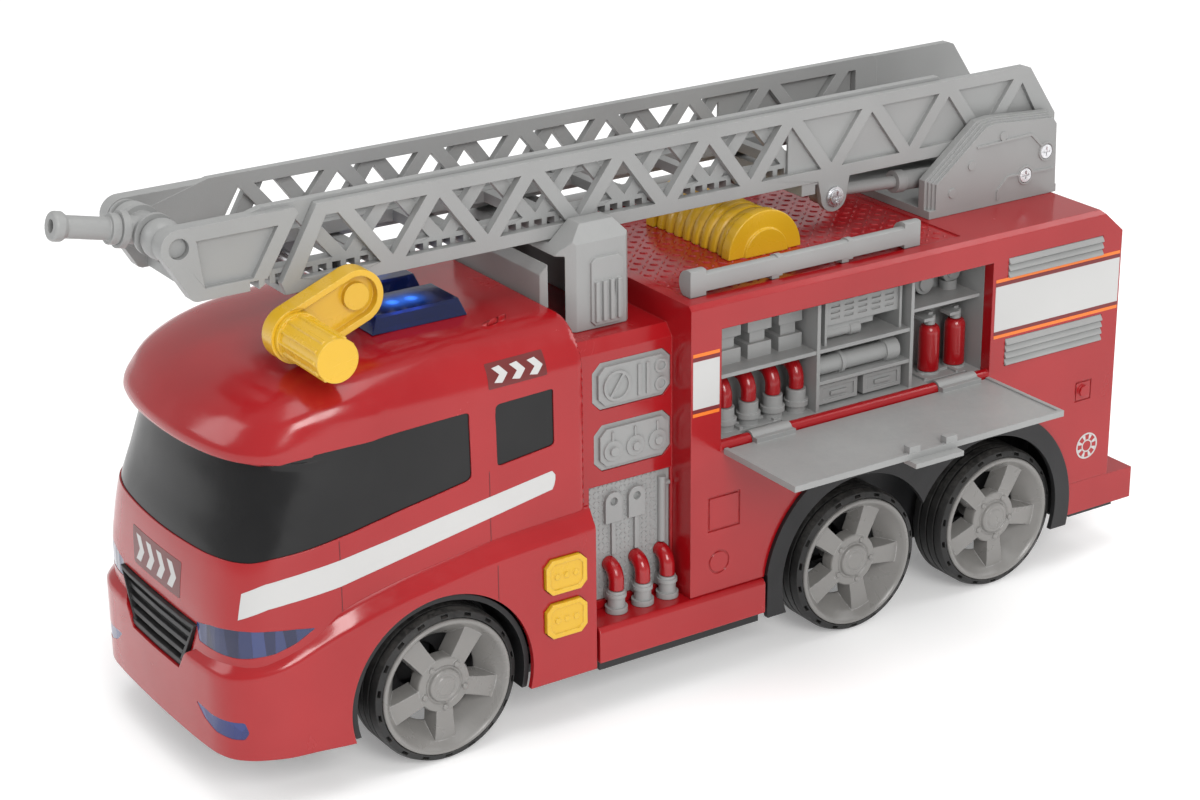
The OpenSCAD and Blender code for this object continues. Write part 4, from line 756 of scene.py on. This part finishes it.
# plan of the nose, +X half: x, y
LOWER_NOSE = [
    (59.5, -134), (59.5, -144), (59.0, -149), (57.4, -158), (55.9, -168), (53.6, -174),
    (50.6, -179.2), (46.5, -183.2), (40.6, -185.6), (31, -186.7), (20, -187.2),
    (0, LOWER_NOSE_Y)]
LOWER = whole_outline(np.vstack([
    [(LOWER_HALF_WIDTH, y) for y in (-54.2, -80, -110)],
    nose_curve(LOWER_NOSE, (-20, -187.2)), [(0.0, LOWER_NOSE_Y)]]))
# shoulder line: y, z
SHOULDER_LINE = catmull([
    (-195, 47.1), (-186, 47.5), (-175, 49.0), (-164, 52.1), (-148.6, 58.7), (-130, 63.4),
    (-110, 66.6), (-92, 69), (-50, 71.4)], 12)
# shoulder section: distance inward, height over the shoulder line
FOOT = -1.4
SHOULDER = catmull([
    (0, FOOT), (0.12, -0.5), (0.5, 0.35), (1.4, 1.6), (2.6, 3.5), (3.4, 4.9), (3.75, 5.35),
    (4.3, 5.65), (5.4, 5.8)], 8)
SHOULDER_RUN = run_lengths(SHOULDER)
SHOULDER_TOP = SHOULDER_RUN[-1] + FOOT      # as a rise


def shoulder_z(y):
    return np.interp(y, SHOULDER_LINE[:, 0], SHOULDER_LINE[:, 1])


def lower_map(along, rise):
    """The lower cab's points (x, y, z)."""
    plan, tangent = LOWER.at(along), LOWER.tangent(along)
    inward = np.stack([tangent[:, 1], -tangent[:, 0]], 1)
    centre = np.array([0, -110.0])
    inward[((centre - plan) * inward).sum(1) < 0] *= -1
    run = np.clip(rise - FOOT, 0, SHOULDER_RUN[-1])
    offset, height = (np.interp(run, SHOULDER_RUN, SHOULDER[:, k]) for k in range(2))
    # the shoulder is lower round the nose
    squash = 1 - 0.32 * np.clip((-plan[:, 1] - 150) / 18, 0, 1)
    height = np.where(height > 0, height * squash, height)
    z = shoulder_z(plan[:, 1]) + np.where(rise < FOOT, rise, height)
    return np.c_[plan + inward * offset[:, None], z]


LOWER_SAMPLES = np.linspace(0, LOWER.length, 4001)
LOWER_PLAN = LOWER.at(LOWER_SAMPLES)
FROM_NOSE = np.abs(LOWER_SAMPLES - LOWER.length / 2)


def lower_along_side(y):
    near = (LOWER_PLAN[:, 0] > 20) & (FROM_NOSE > 40)
    return lookup(y, LOWER_PLAN[near, 1], LOWER_SAMPLES[near])


def lower_along_front(x):
    near = FROM_NOSE < 62
    return lookup(x, LOWER_PLAN[near, 0], LOWER_SAMPLES[near])


def lower_point(along, z):
    return along, z - float(shoulder_z(LOWER.at(np.array([along]))[0, 1]))


def lower_side(y, z):
    return lower_point(lower_along_side(y), z)


def lower_front(x, z):
    return lower_point(lower_along_front(x), z)


# ------------------------------------------------------------------ openings in both skins
def on_skin(locate, points):
    """Skin points of a list of (y, z) or (x, z), located by one of the functions above."""
    return [locate(*point) for point in points]


def mirror(loop, skin=upper_map):
    """The loop on the other side of the cab."""
    length = (LOWER if skin is lower_map else UPPER).length
    return [(length - along, rise) for along, rise in reversed(loop)]


# windscreen that runs round into both front side windows: upper and lower edge, +X half
SCREEN_TOP = on_skin(upper_side, [
    (-98.6, 120.7), (-110, 120.4), (-130, 119.5), (-142, 118.8), (-148, 118.4), (-153, 118.0),
]) + on_skin(upper_front, [
    (53.0, 117.5), (50.8, 116.6), (48.6, 115.5), (46.0, 114.5), (42, 113.8), (30, 113.3),
    (15, 113.3), (0, 113.3)])
SCREEN_BOTTOM = on_skin(upper_front, [
    (0, 83.6), (15, 83.8), (30, 84.0), (42, 84.3), (47.6, 84.6),
]) + on_skin(upper_side, [
    (-168, 86), (-157, 87.6), (-146.7, 89.4), (-130, 92.2), (-112, 95.2), (-98.6, 97.5)])
SCREEN = rounded(
    SCREEN_TOP + mirror(SCREEN_TOP[:-1]) + mirror(SCREEN_BOTTOM[1:]) + SCREEN_BOTTOM, 2.2)
REAR_WINDOW = rounded(on_skin(upper_side, [
    (-89, 99.6), (-89, 121.0), (-67.3, 121.8), (-67.3, 102.1)]), 1.6)
HEADLAMP = rounded(on_skin(upper_front, [
    (27.6, 59.8), (28.8, 53.6), (38, 53.2), (46, 53.2),
]) + on_skin(upper_side, [
    (-178, 53.4), (-170, 54.6), (-163, 57.2), (-156.4, 61.0), (-163, 62.0), (-171, 62.6),
    (-178, 62.8),
]) + on_skin(upper_front, [(44, 62.6), (36, 61.6)]), 0.9)
FOG_LAMP = rounded(on_skin(lower_front, [
    (28.6, 32.9), (33.5, 28.8), (40, 26.4), (46.5, 25.8),
]) + on_skin(lower_side, [
    (-180.4, 26.0), (-179.2, 28.4), (-180.2, 32.0),
]) + on_skin(lower_front, [(45, 31.8), (38, 31.9), (33, 32.5)]), 0.8)


# ------------------------------------------------------------------ cab skins
SKIN_STEP = 1.9
SKIN_THICKNESS = 2.0
SKIN_SHARP = 40
ROOF_OPENING = [(5.2, -114.3), (24.3, -114.3), (24.3, -83.6), (5.2, -83.6)]    # x, y
# top of the grille notch, which rises into the upper skin: x, z
UPPER_NOTCH = [
    (21.6, 46.0), (23.9, 50.3), (26.1, 54.6), (28.2, 58.9), (14, 59.0), (0, 59.0),
    (-14, 59.0), (-28.2, 58.9), (-26.1, 54.6), (-23.9, 50.3), (-21.6, 46.0)]
# grille notch in the lower skin, open at the top: x, z
LOWER_NOTCH = [
    (-28.0, 53.0), (-25.6, 50.0), (-22.0, 46.6), (-17.6, 40.0), (0, 39.8), (17.6, 40.0),
    (22.0, 46.6), (25.6, 50.0), (28.0, 53.0)]
ARCH_Y, ARCH_Z, ARCH_RADIUS = -113.2, 27.4, 34.0


def upper_border():
    """Closed border of the upper skin, whose lower edge clears the shoulder line."""
    clearance, blend_start, blend_length = 1.4, -176, 10
    blend_end = blend_start + blend_length
    along = np.linspace(0, UPPER.length, int(UPPER.length / SKIN_STEP) + 1)
    y = UPPER.at(along)[:, 1]
    share = np.clip((y - blend_start) / blend_length, 0, 1)
    z = np.where(y >= blend_end, np.maximum(46.0, shoulder_z(y) + clearance),
                 46.0 + share * (shoulder_z(float(blend_end)) + clearance - 46.0))
    edge = np.c_[along, [rise_at(height) for height in z]]
    notch_start, notch_end = (upper_front(x, 46.1)[0] for x in (21.6, -21.6))
    edge = np.vstack([
        edge[edge[:, 0] < notch_start - 0.6],
        dense(on_skin(upper_front, UPPER_NOTCH), 1.6, closed=False),
        edge[edge[:, 0] > notch_end + 0.6]])
    low = edge[0, 1]
    rows = 50
    columns = int(UPPER.length / 3.0)
    return ([tuple(point) for point in edge]
            + [(UPPER.length, rise) for rise in np.linspace(low, TOP_RISE, rows)[1:]]
            + [(along, TOP_RISE) for along in np.linspace(UPPER.length, 0, columns)[1:]]
            + [(0, rise) for rise in np.linspace(TOP_RISE, low, rows)[1:-1]])


def facing_out(verts, faces):
    """Faces turned so that the surface faces +X at its furthest +X point."""
    if normals(verts, faces)[np.argmax(verts[:, 0])][0] < 0:
        return faces[:, ::-1]
    return faces


def build_cab_upper():
    loops = (SCREEN, REAR_WINDOW, mirror(REAR_WINDOW), HEADLAMP, mirror(HEADLAMP))
    holes = [dense(loop, SKIN_STEP) for loop in loops]
    flat, faces = tri_domain(upper_border(), holes, SKIN_STEP)
    walls = upper_map(flat[:, 0], flat[:, 1])
    faces = facing_out(walls, faces)
    # flat roof, with its two openings
    ring_along = np.linspace(0, UPPER.length, int(UPPER.length / 3.0))[:-1]
    ring = upper_map(ring_along, np.full(len(ring_along), TOP_RISE))
    openings = [dense([(sign * x, y) for x, y in ROOF_OPENING], 2.2) for sign, _ in SIDES]
    roof_flat, roof_faces = tri_domain(ring[:, :2], openings, 2.4)
    roof = np.c_[roof_flat, np.full(len(roof_flat), ring[0, 2])]
    if normals(roof, roof_faces)[:, 2].mean() < 0:
        roof_faces = roof_faces[:, ::-1]
    verts, faces = merge(np.vstack([walls, roof]),
                         np.vstack([faces, roof_faces + len(walls)]), 2e-3)
    verts, faces = thicken(verts, faces, SKIN_THICKNESS, normals(verts, faces))
    return piece("cab_upper_skin", verts, faces, "red_plastic", sharp=SKIN_SHARP)


def notch_point(x, z):
    """Skin point of the lower notch, on the wall or on the shoulder."""
    along, height = lower_front(x, z)
    shoulder_height = z - float(shoulder_z(LOWER.at(np.array([along]))[0, 1]))
    if height > FOOT:
        height = float(np.interp(shoulder_height, SHOULDER[:, 1], SHOULDER_RUN)) + FOOT
    return along, height


def lower_border():
    """Closed border of the lower skin, with the wheel arches and the grille notch."""
    start = math.asin((LOWER_BASE - ARCH_Z) / ARCH_RADIUS)
    arch = [(ARCH_Y + ARCH_RADIUS * math.cos(turn), ARCH_Z + ARCH_RADIUS * math.sin(turn))
            for turn in np.linspace(start, math.pi - start, 64)]

    def base(first, last, count):
        return [lower_point(along, LOWER_BASE) for along in np.linspace(first, last, count)]

    half = (base(0, lower_along_side(arch[0][0]), 14)[:-1]
            + on_skin(lower_side, arch)
            + base(lower_along_side(arch[-1][0]), LOWER.length / 2, 70)[1:])
    notch = on_skin(notch_point, LOWER_NOTCH)
    rear_base = LOWER_BASE - float(shoulder_z(-54.1))
    rear_minus = np.linspace(rear_base, SHOULDER_TOP, 30)[1:-1]
    rear_plus = np.linspace(SHOULDER_TOP, rear_base, 30)[1:-1]
    return (half + mirror(half[:-1], lower_map)
            + [(LOWER.length, rise) for rise in rear_minus]
            + [(x, SHOULDER_TOP) for x in np.linspace(LOWER.length, notch[0][0], 110)]
            + notch
            + [(x, SHOULDER_TOP) for x in np.linspace(notch[-1][0], 0, 110)]
            + [(0, rise) for rise in rear_plus])


def octagon_hole(bottom, top):
    """Rectangle with cut corners in the +X side, behind the wheel arch."""
    front, rear, cut = -74.8, -58.4, 2.6
    return on_skin(lower_side, [
        (front + cut, bottom), (rear - cut, bottom), (rear, bottom + cut), (rear, top - cut),
        (rear - cut, top), (front + cut, top), (front, top - cut), (front, bottom + cut)])


def build_cab_lower():
    loops = (FOG_LAMP, mirror(FOG_LAMP, lower_map), octagon_hole(51.0, 63.8),
             octagon_hole(35.0, 47.8))
    flat, faces = tri_domain(dense(lower_border(), 2.0), [dense(loop, 1.6) for loop in loops],
                             SKIN_STEP)
    verts = lower_map(flat[:, 0], flat[:, 1])
    faces = facing_out(verts, faces)
    verts, faces = thicken(verts, faces, SKIN_THICKNESS, normals(verts, faces))
    return piece("cab_lower_skin", verts, faces, "red_plastic", sharp=SKIN_SHARP)


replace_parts(build_cab_upper(), "cab_shell")
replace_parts(build_cab_lower(), "cab_lower")

# the lower cab's rear returns: x, z
REAR_RETURN = [(44, 20.4), (59.1, 19.0), (59.1, 70.8), (57.7, 72.8), (55.2, 76.4), (44, 76.4)]
for sign, side in SIDES:
    rear_return = plate_solid("cab_lower_return_" + side, [(sign * x, z) for x, z in REAR_RETURN],
                              -56.2, -54.35, "red_plastic", "y", bevel=0.35)
    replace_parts(rear_return, "cab_lower")


# ------------------------------------------------------------------ patches on the cab skins
PRINT_THICKNESS = 0.14
PRINT_LIFT = 0.07
OVERPRINT_LIFT = 0.13       # a print on top of another


def patch(name, loop, mat, thickness=PRINT_THICKNESS, lift=PRINT_LIFT, step=1.6,
          skin=upper_map, slot=None):
    """A sheet that follows the skin inside the loop, its top lifted off the surface."""
    flat, faces = tri_domain(dense(loop, step), [], step)
    verts = skin(flat[:, 0], flat[:, 1])
    normal = normals(verts, faces)
    cab_centre = np.array([0, -120, 90])
    if (normal * (verts - cab_centre)).sum() < 0:
        faces, normal = faces[:, ::-1], -normal
    verts, faces = thicken(verts, faces, thickness, normal, lift)
    return piece(name, verts, faces, mat, slot=slot, sharp=35)


def patch_pair(name, loop, mat, skin=upper_map, **settings):
    """A patch on each side; %s in the name stands for the side."""
    patch(name % "right", loop, mat, skin=skin, **settings)
    patch(name % "left", mirror(loop, skin), mat, skin=skin, **settings)


glass = [patch(name, loop, "dark_glass", thickness=1.2, lift=-0.5) for name, loop in (
    ("cab_glass", SCREEN),
    ("cab_glass_rear_right", REAR_WINDOW),
    ("cab_glass_rear_left", mirror(REAR_WINDOW)))]
for pane in glass:
    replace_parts(pane, "cab_windows")


def lamp_pair(lens_name, reflector_name, loop, mat, replaced, reflector_lift, skin):
    """A lens in each opening, with a reflector behind it."""
    for side, opening in (("right", loop), ("left", mirror(loop, skin))):
        cover = patch(lens_name + side, opening, mat, thickness=1.0, lift=-0.1, skin=skin)
        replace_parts(cover, replaced)
        patch(reflector_name + side, opening, "reflector", thickness=0.5, lift=reflector_lift,
              skin=skin, slot="steel")


lamp_pair("headlamp_", "headlamp_reflector_", HEADLAMP, "lamp_clear", "headlamps",
          reflector_lift=-2.0, skin=upper_map)
lamp_pair("fog_lamp_", "fog_reflector_", FOG_LAMP, "fog_clear", "fog_lamps",
          reflector_lift=-1.9, skin=lower_map)

# ------------------------------------------------------------------ printed stripe
# stations along the side: y, lower z, upper z
STRIPE = np.array([
    (-179.2, 66.6, 74.9), (-176, 68.1, 76.4), (-171, 69.9, 78.2), (-165, 71.0, 79.5),
    (-158, 71.8, 80.6), (-147, 72.9, 81.9), (-130, 75.8, 84.2), (-110, 79.3, 87.3),
    (-90, 82.8, 90.1), (-68.6, 86.6, 93.2)])
STRIPE_TIP = [(-67.6, 88.2), (-67.2, 90.0), (-67.2, 91.6)]     # rear end: y, z


def stripe_edge(column, start, droop):
    """One edge of the stripe; droop lowers it towards the nose."""
    return [upper_side(y, float(np.interp(y, STRIPE[:, 0], STRIPE[:, column]))
                       - droop * max(0.0, (-y - 172) / 6))
            for y in np.linspace(start, -68.4, 70)]


stripe = (stripe_edge(1, -178.9, droop=0.4) + on_skin(upper_side, STRIPE_TIP)
          + stripe_edge(2, -177.2, droop=1.0)[::-1])
patch_pair("stripe_%s", stripe, "white_print", step=1.5)

# ------------------------------------------------------------------ thin upright panel joints
JOINT_WIDTH = 0.34


def joint(name, y, heights, locate=upper_side, skin=upper_map):
    front, rear = y - JOINT_WIDTH / 2, y + JOINT_WIDTH / 2
    loop = [locate(front, z) for z in heights] + [locate(rear, z) for z in reversed(heights)]
    patch_pair(name + "_%s", rounded(loop, 0.01, 2), "joint_shadow", thickness=0.10, lift=0.04,
               step=1.2, skin=skin)


REAR_DOOR_Y = -92.1
joint("joint_rear_door", REAR_DOOR_Y, np.linspace(98.6, 72.6, 12))
joint("joint_front_door", -147.0, np.linspace(88.4, 62.5, 12))
joint("joint_rear_door_low", REAR_DOOR_Y, np.linspace(67.0, 54.6, 8), lower_side, lower_map)

# ------------------------------------------------------------------ dark plates with chevrons
SIDE_PLATE = [(-91.4, 126.4), (-69.4, 126.9), (-69.6, 134.6), (-91.2, 134.2)]     # y, z
FRONT_PLATE = [(-17.2, 63.6), (17.2, 63.6), (18.4, 76.6), (-18.4, 76.6)]          # x, z
# chevrons: distance from their start, z
SIDE_CHEVRON = [(0, 128.3), (2.9, 127.8), (5.4, 130.5), (2.9, 133.1), (0, 132.7), (2.3, 130.5)]
FRONT_CHEVRON = [(0, 65.6), (3.6, 65.6), (6.6, 70.1), (3.6, 74.6), (0, 74.6), (3.0, 70.1)]


def chevron(locate, shape, start):
    return on_skin(locate, dense([(start + shift, z) for shift, z in shape], 1.5))


patch_pair("side_plate_%s", rounded(on_skin(upper_side, dense(SIDE_PLATE, 3.0)), 0.6),
           "dark_print", step=2.0)
for k in range(3):
    patch_pair(f"side_chevron_%s_{k}", chevron(upper_side, SIDE_CHEVRON, -89.2 + k * 6.6),
               "white_print", lift=OVERPRINT_LIFT, step=1.2)
patch("front_plate", rounded(on_skin(upper_front, dense(FRONT_PLATE, 3.0)), 1.0), "dark_print",
      step=2.0)
for k in range(4):
    patch(f"front_chevron_{k}", chevron(upper_front, FRONT_CHEVRON, -15.2 + k * 7.9),
          "white_print", lift=OVERPRINT_LIFT, step=1.4)

# ------------------------------------------------------------------ prints on the flat body sides
BODY_X = 57.7
BAND_LENGTHS = ((-13.9, -3.0), (118.4, 178.4))      # y from, y to
BAND_Z = (102.5, 119.6)
BAND_LINES = (      # z from, z to, material
    (101.2, 102.35, "maroon_print"), (119.75, 120.95, "maroon_print"),
    (99.8, 101.05, "orange_print"), (121.1, 122.35, "orange_print"))


def side_print(name, loop, mat):
    top = BODY_X + PRINT_LIFT
    for sign, side in SIDES:
        plate_solid(f"{name}_{side}", loop, sign * (top - PRINT_THICKNESS), sign * top, mat, "x")


def rectangle(front, rear, bottom, top):
    return [(front, bottom), (rear, bottom), (rear, top), (front, top)]


for k, (front, rear) in enumerate(BAND_LENGTHS):
    side_print(f"band_{k}", rectangle(front, rear, *BAND_Z), "white_print")
    for j, (bottom, top, ink) in enumerate(BAND_LINES):
        side_print(f"band_line_{k}_{j}", rectangle(front, rear, bottom, top), ink)

# black plate behind the grille, painted shade: it darkens the gaps between the slats, where the
# recess lies in shade: x, z
GRILLE_SHADE_PLATE = [(-27.6, 58.6), (-17.4, 40.4), (17.4, 40.4), (27.6, 58.6)]
plate_solid("grille_shade_plate", GRILLE_SHADE_PLATE, -183.6, -182.4, "black_plastic", "y")


# ------------------------------------------------------------------ rims
def revolve_x(profile, centre, sign, count=96):
    """Profile of (radius, distance along X), from axis to axis or closed, turned about X."""
    profile = np.array(profile, float)
    cx, cy, cz = centre
    on_axis = abs(profile[0, 0]) < 1e-9 and abs(profile[-1, 0]) < 1e-9
    turns = np.linspace(0, 2 * math.pi, count, endpoint=False)
    verts, rings = [], []
    for radius, x in profile:
        if radius < 1e-9:
            rings.append([len(verts)] * count)
            verts.append((cx + sign * x, cy, cz))
        else:
            rings.append(list(range(len(verts), len(verts) + count)))
            verts += [(cx + sign * x, cy + radius * math.cos(turn), cz + radius * math.sin(turn))
                      for turn in turns]
    faces = []
    for i in range(len(rings) - 1 if on_axis else len(rings)):
        here, after = rings[i], rings[(i + 1) % len(rings)]
        for k in range(count):
            following = (k + 1) % count
            face = [here[k], here[following], after[following], after[k]]
            face = [vert for j, vert in enumerate(face) if vert != face[j - 1]]
            if len(face) >= 3:
                faces.append(face)
    return np.array(verts), faces


# profiles: radius, distance outward from the rim's inner plane
BOWL = [
    (20.9, 0), (22, 0), (22, 16.9), (23.9, 16.9), (23.95, 17.7), (23.6, 18.2), (22.9, 18.3),
    (22.2, 17.9), (21.6, 17.0), (20.4, 15.2), (18.2, 12.1), (16.4, 9.7), (15.7, 8.9),
    (15.4, 8.2), (15.6, 7.4), (16.4, 7.3), (18.4, 9.8), (20.4, 12.6), (20.9, 13.6)]
HUB = [
    (0, 1.0), (4.4, 1.0), (4.6, 9.6), (8.8, 9.6), (9.9, 10.4), (9.9, 14.9), (9.5, 15.6),
    (9.0, 15.8), (7.0, 15.85), (6.7, 15.5), (6.2, 15.45), (5.9, 15.8), (5.7, 16.5),
    (5.2, 16.9), (4.4, 17.0), (4.2, 16.75), (3.4, 16.75), (3.2, 17.0), (2.6, 17.1), (0, 17.15)]
BOLT = [(0, 15.0), (1.15, 15.0), (1.15, 16.2), (0.95, 16.55), (0.5, 16.7), (0, 16.75)]
RIM_DEPTH = max(depth for _, depth in BOWL)
BOLT_CIRCLE = 7.95
SPOKES = 5
SPOKE_BACK = 8.4
SPOKE_FLARE = 1.18      # width of the back over the front
# outer face of a spoke: across, radius, distance outward
SPOKE = [
    (-3.1, 8.6, 15.5), (3.1, 8.6, 15.5), (3.25, 12, 15.5), (3.5, 16, 15.4), (4.0, 20.9, 15.2),
    (-4.0, 20.9, 15.2), (-3.5, 16, 15.4), (-3.25, 12, 15.5)]


def spoke(centre, sign, cosine, sine):
    """Flat outer face, flanks that spread towards the back."""
    back = [(across * SPOKE_FLARE, radius if radius < 20 else 19.3, SPOKE_BACK)
            for across, radius, _ in SPOKE]
    cx, cy, cz = centre
    verts = [(cx + sign * depth, cy + cosine * radius - sine * across,
              cz + sine * radius + cosine * across) for across, radius, depth in back + SPOKE]
    count = len(SPOKE)
    faces = [[(i + 1) % count, i, i + count, (i + 1) % count + count] for i in range(count)]
    faces += [list(range(count)), list(range(2 * count - 1, count - 1, -1))]
    return np.array(verts, float), faces


def rim_pair(node, body, angle):
    """Both rims of an axle; angle is the first spoke's, in degrees."""
    low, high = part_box(node)
    cy, cz = (low[1] + high[1]) / 2 / MM, (low[2] + high[2]) / 2 / MM
    inner_x = high[0] / MM - RIM_DEPTH
    parts = []
    for sign, _ in SIDES:
        cx = sign * inner_x
        centre = (cx, cy, cz)
        parts.append(revolve_x(BOWL, centre, sign))
        parts.append(revolve_x(HUB, centre, sign, 64))
        for k in range(SPOKES):
            turn = math.radians(angle + 72 * k)
            cosine, sine = math.cos(turn), math.sin(turn)
            parts.append(spoke(centre, sign, cosine, sine))
            bolt_centre = (cx, cy + cosine * BOLT_CIRCLE, cz + sine * BOLT_CIRCLE)
            parts.append(revolve_x(BOLT, bolt_centre, sign, 18))
    verts, faces = gather(parts)
    rims = piece(node + "_visual", verts, faces, "wheel_grey", body=body, sharp=32)
    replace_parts(rims, node)
    modify(rims, "bevel", "BEVEL", limit_method="ANGLE", angle_limit=math.radians(34),
           width=0.32 * MM, segments=2, use_clamp_overlap=True)
    modify(rims, "wn", "WEIGHTED_NORMAL", weight=60, keep_sharp=True)


rim_pair("rims_front", "front_wheels", -90)
rim_pair("rims_mid", "middle_wheels", -78)
rim_pair("rims_rear", "rear_wheels", -84)


# ------------------------------------------------------------------ diamond tread
def diamond(x, y, bottom, length, width, height, turn):
    """A raised six-sided stud; length and width are half sizes."""
    cosine, sine = math.cos(turn), math.sin(turn)
    base = [(-length, 0), (-length * 0.45, -width), (length * 0.45, -width), (length, 0),
            (length * 0.45, width), (-length * 0.45, width)]
    top = [(across * 0.62, deep * 0.5) for across, deep in base]
    verts = [(x + cosine * across - sine * deep, y + sine * across + cosine * deep, z)
             for outline, z in ((base, bottom), (top, bottom + height))
             for across, deep in outline]
    count = len(base)
    faces = [[i, (i + 1) % count, (i + 1) % count + count, i + count] for i in range(count)]
    faces += [list(range(count))[::-1], list(range(count, 2 * count))]
    return np.array(verts, float), faces


def tread(columns, rows, bottom, **size):
    """Studs on a grid, turned 45 degrees one way and the other by turns."""
    return [diamond(x, y, bottom, turn=math.radians(45 if (i + j) % 2 else -45), **size)
            for j, y in enumerate(rows) for i, x in enumerate(columns)]


ROOF_Z = 138.7
ROOF_PITCH = 4.1
verts, faces = gather(tread(
    np.arange(-48.2, 48.4, ROOF_PITCH), np.arange(-7.4, 105.5, ROOF_PITCH), ROOF_Z - 0.3,
    length=1.95, width=0.62, height=0.62))
piece("roof_tread", verts, faces, "red_plastic")

# fine tread on the tool board of the pump section
BOARD_X = 45.5
BOARD_PITCH = 1.75
studs = tread(
    np.arange(-47.3, -16.0, BOARD_PITCH), np.arange(37.3, 78.2, BOARD_PITCH), -0.1,
    length=0.82, width=0.27, height=0.34)
for sign, side in SIDES:
    # laid flat above, stood up here: the studs' height points out along X
    verts, faces = gather([
        (np.c_[sign * (BOARD_X + flat[:, 2]), flat[:, 0], flat[:, 1]], stud_faces)
        for flat, stud_faces in studs])
    piece("tool_board_tread_" + side, verts, faces, "grey_plastic")

# ------------------------------------------------------------------ round badge on each side
BADGE_Y, BADGE_Z = 167.6, 46.9
BADGE_BARS = 8
BADGE_BAR = ((2.6, -0.3), (4.5, -0.75), (4.5, 0.75), (2.6, 0.3))      # radius, across


def badge_ring(name, outer, inner):
    top, bottom = BODY_X + 0.09, BODY_X - 0.07
    profile = [(inner, bottom), (outer, bottom), (outer, top), (inner, top)]
    for sign, side in SIDES:
        ring = revolve_x(profile, (0.0, BADGE_Y, BADGE_Z), sign, 48)
        piece(f"{name}_{side}", *gather([ring]), "white_print")


badge_ring("badge_outer", 5.2, 4.6)
badge_ring("badge_inner", 2.5, 2.0)
for k in range(BADGE_BARS):
    turn = math.pi / 4 * k + math.pi / 8
    cosine, sine = math.cos(turn), math.sin(turn)
    bar = [(BADGE_Y + cosine * radius - sine * across, BADGE_Z + sine * radius + cosine * across)
           for radius, across in BADGE_BAR]
    side_print(f"badge_bar_{k}", bar, "white_print")

# ------------------------------------------------------------------ floor
FLOOR_HALF = 6
floor_mesh = bpy.data.meshes.new("floor")
floor_corners = [(x * FLOOR_HALF, y * FLOOR_HALF, 0) for x, y in ((-1, -1), (1, -1), (1, 1), (-1, 1))]
floor_mesh.from_pydata(floor_corners, [], [(0, 1, 2, 3)])
floor = bpy.data.objects.new("floor", floor_mesh)
bpy.context.scene.collection.objects.link(floor)
paper = Surface("floor_paper")
paper.set(paper.shader, {
    "Base Color": paper.ramp(paper.noise(scale=3, detail=3),
                             [(0.3, (0.86, 0.86, 0.86)), (0.7, (0.9, 0.9, 0.9))]),
    "Roughness": 0.6,
    "Emission Color": (1, 1, 1, 1),
    "Emission Strength": 0.22,
})
floor.data.materials.append(paper.material)

# ------------------------------------------------------------------ light
world = bpy.data.worlds.new("studio")
bpy.context.scene.world = world
world.use_nodes = True
background = world.node_tree.nodes["Background"]
background.inputs["Color"].default_value = (1.0, 1.0, 1.0, 1)
background.inputs["Strength"].default_value = 0.6
bpy.context.scene.view_settings.view_transform = "Standard"
bpy.context.scene.view_settings.look = "None"


def area_light(name, place, target, size, power, colour=(1, 1, 1)):
    """A square light aimed at the target; power in watts."""
    light = bpy.data.lights.new(name, "AREA")
    light.shape = "RECTANGLE"
    light.size = size
    light.size_y = size
    light.energy = power
    light.color = colour
    obj = bpy.data.objects.new(name, light)
    obj.location = place
    obj.rotation_mode = "QUATERNION"
    obj.rotation_quaternion = (Vector(target) - Vector(place)).to_track_quat("-Z", "Y")
    bpy.context.scene.collection.objects.link(obj)


area_light("key", (1.75, -0.45, 1.15), target=(0, 0, 0.08), size=0.9, power=25,
           colour=(1, 0.99, 0.98))
area_light("left", (-0.9, -1.6, 1.1), target=(0, 0, 0.08), size=0.9, power=7,
           colour=(0.98, 0.99, 1))
area_light("back", (0.3, 1.6, 1.3), target=(0, 0, 0.1), size=1.0, power=9)
area_light("top", (0.2, -0.1, 1.9), target=(0, 0, 0), size=1.2, power=11)

# ------------------------------------------------------------------ camera
lens_data = bpy.data.cameras.new("cam")
camera = bpy.data.objects.new("cam", lens_data)
bpy.context.scene.collection.objects.link(camera)
bpy.context.scene.camera = camera
lens_data.sensor_width = 36.0
lens_data.sensor_fit = "HORIZONTAL"
lens_data.lens = 80.8215
lens_data.shift_x = -0.0076583333
lens_data.shift_y = -0.0055166667
lens_data.clip_start = 0.05
lens_data.clip_end = 50
# the camera's own axes in the world
right = Vector((0.55336, 0.83291, -0.00708)).normalized()
backward = Vector((0.77608, -0.51248, 0.3675)).normalized()
upward = backward.cross(right).normalized()
pose = Matrix((right, upward, backward)).transposed().to_4x4()
pose.translation = Vector((738.8, -497.1, 438.8)) * MM
camera.matrix_world = pose
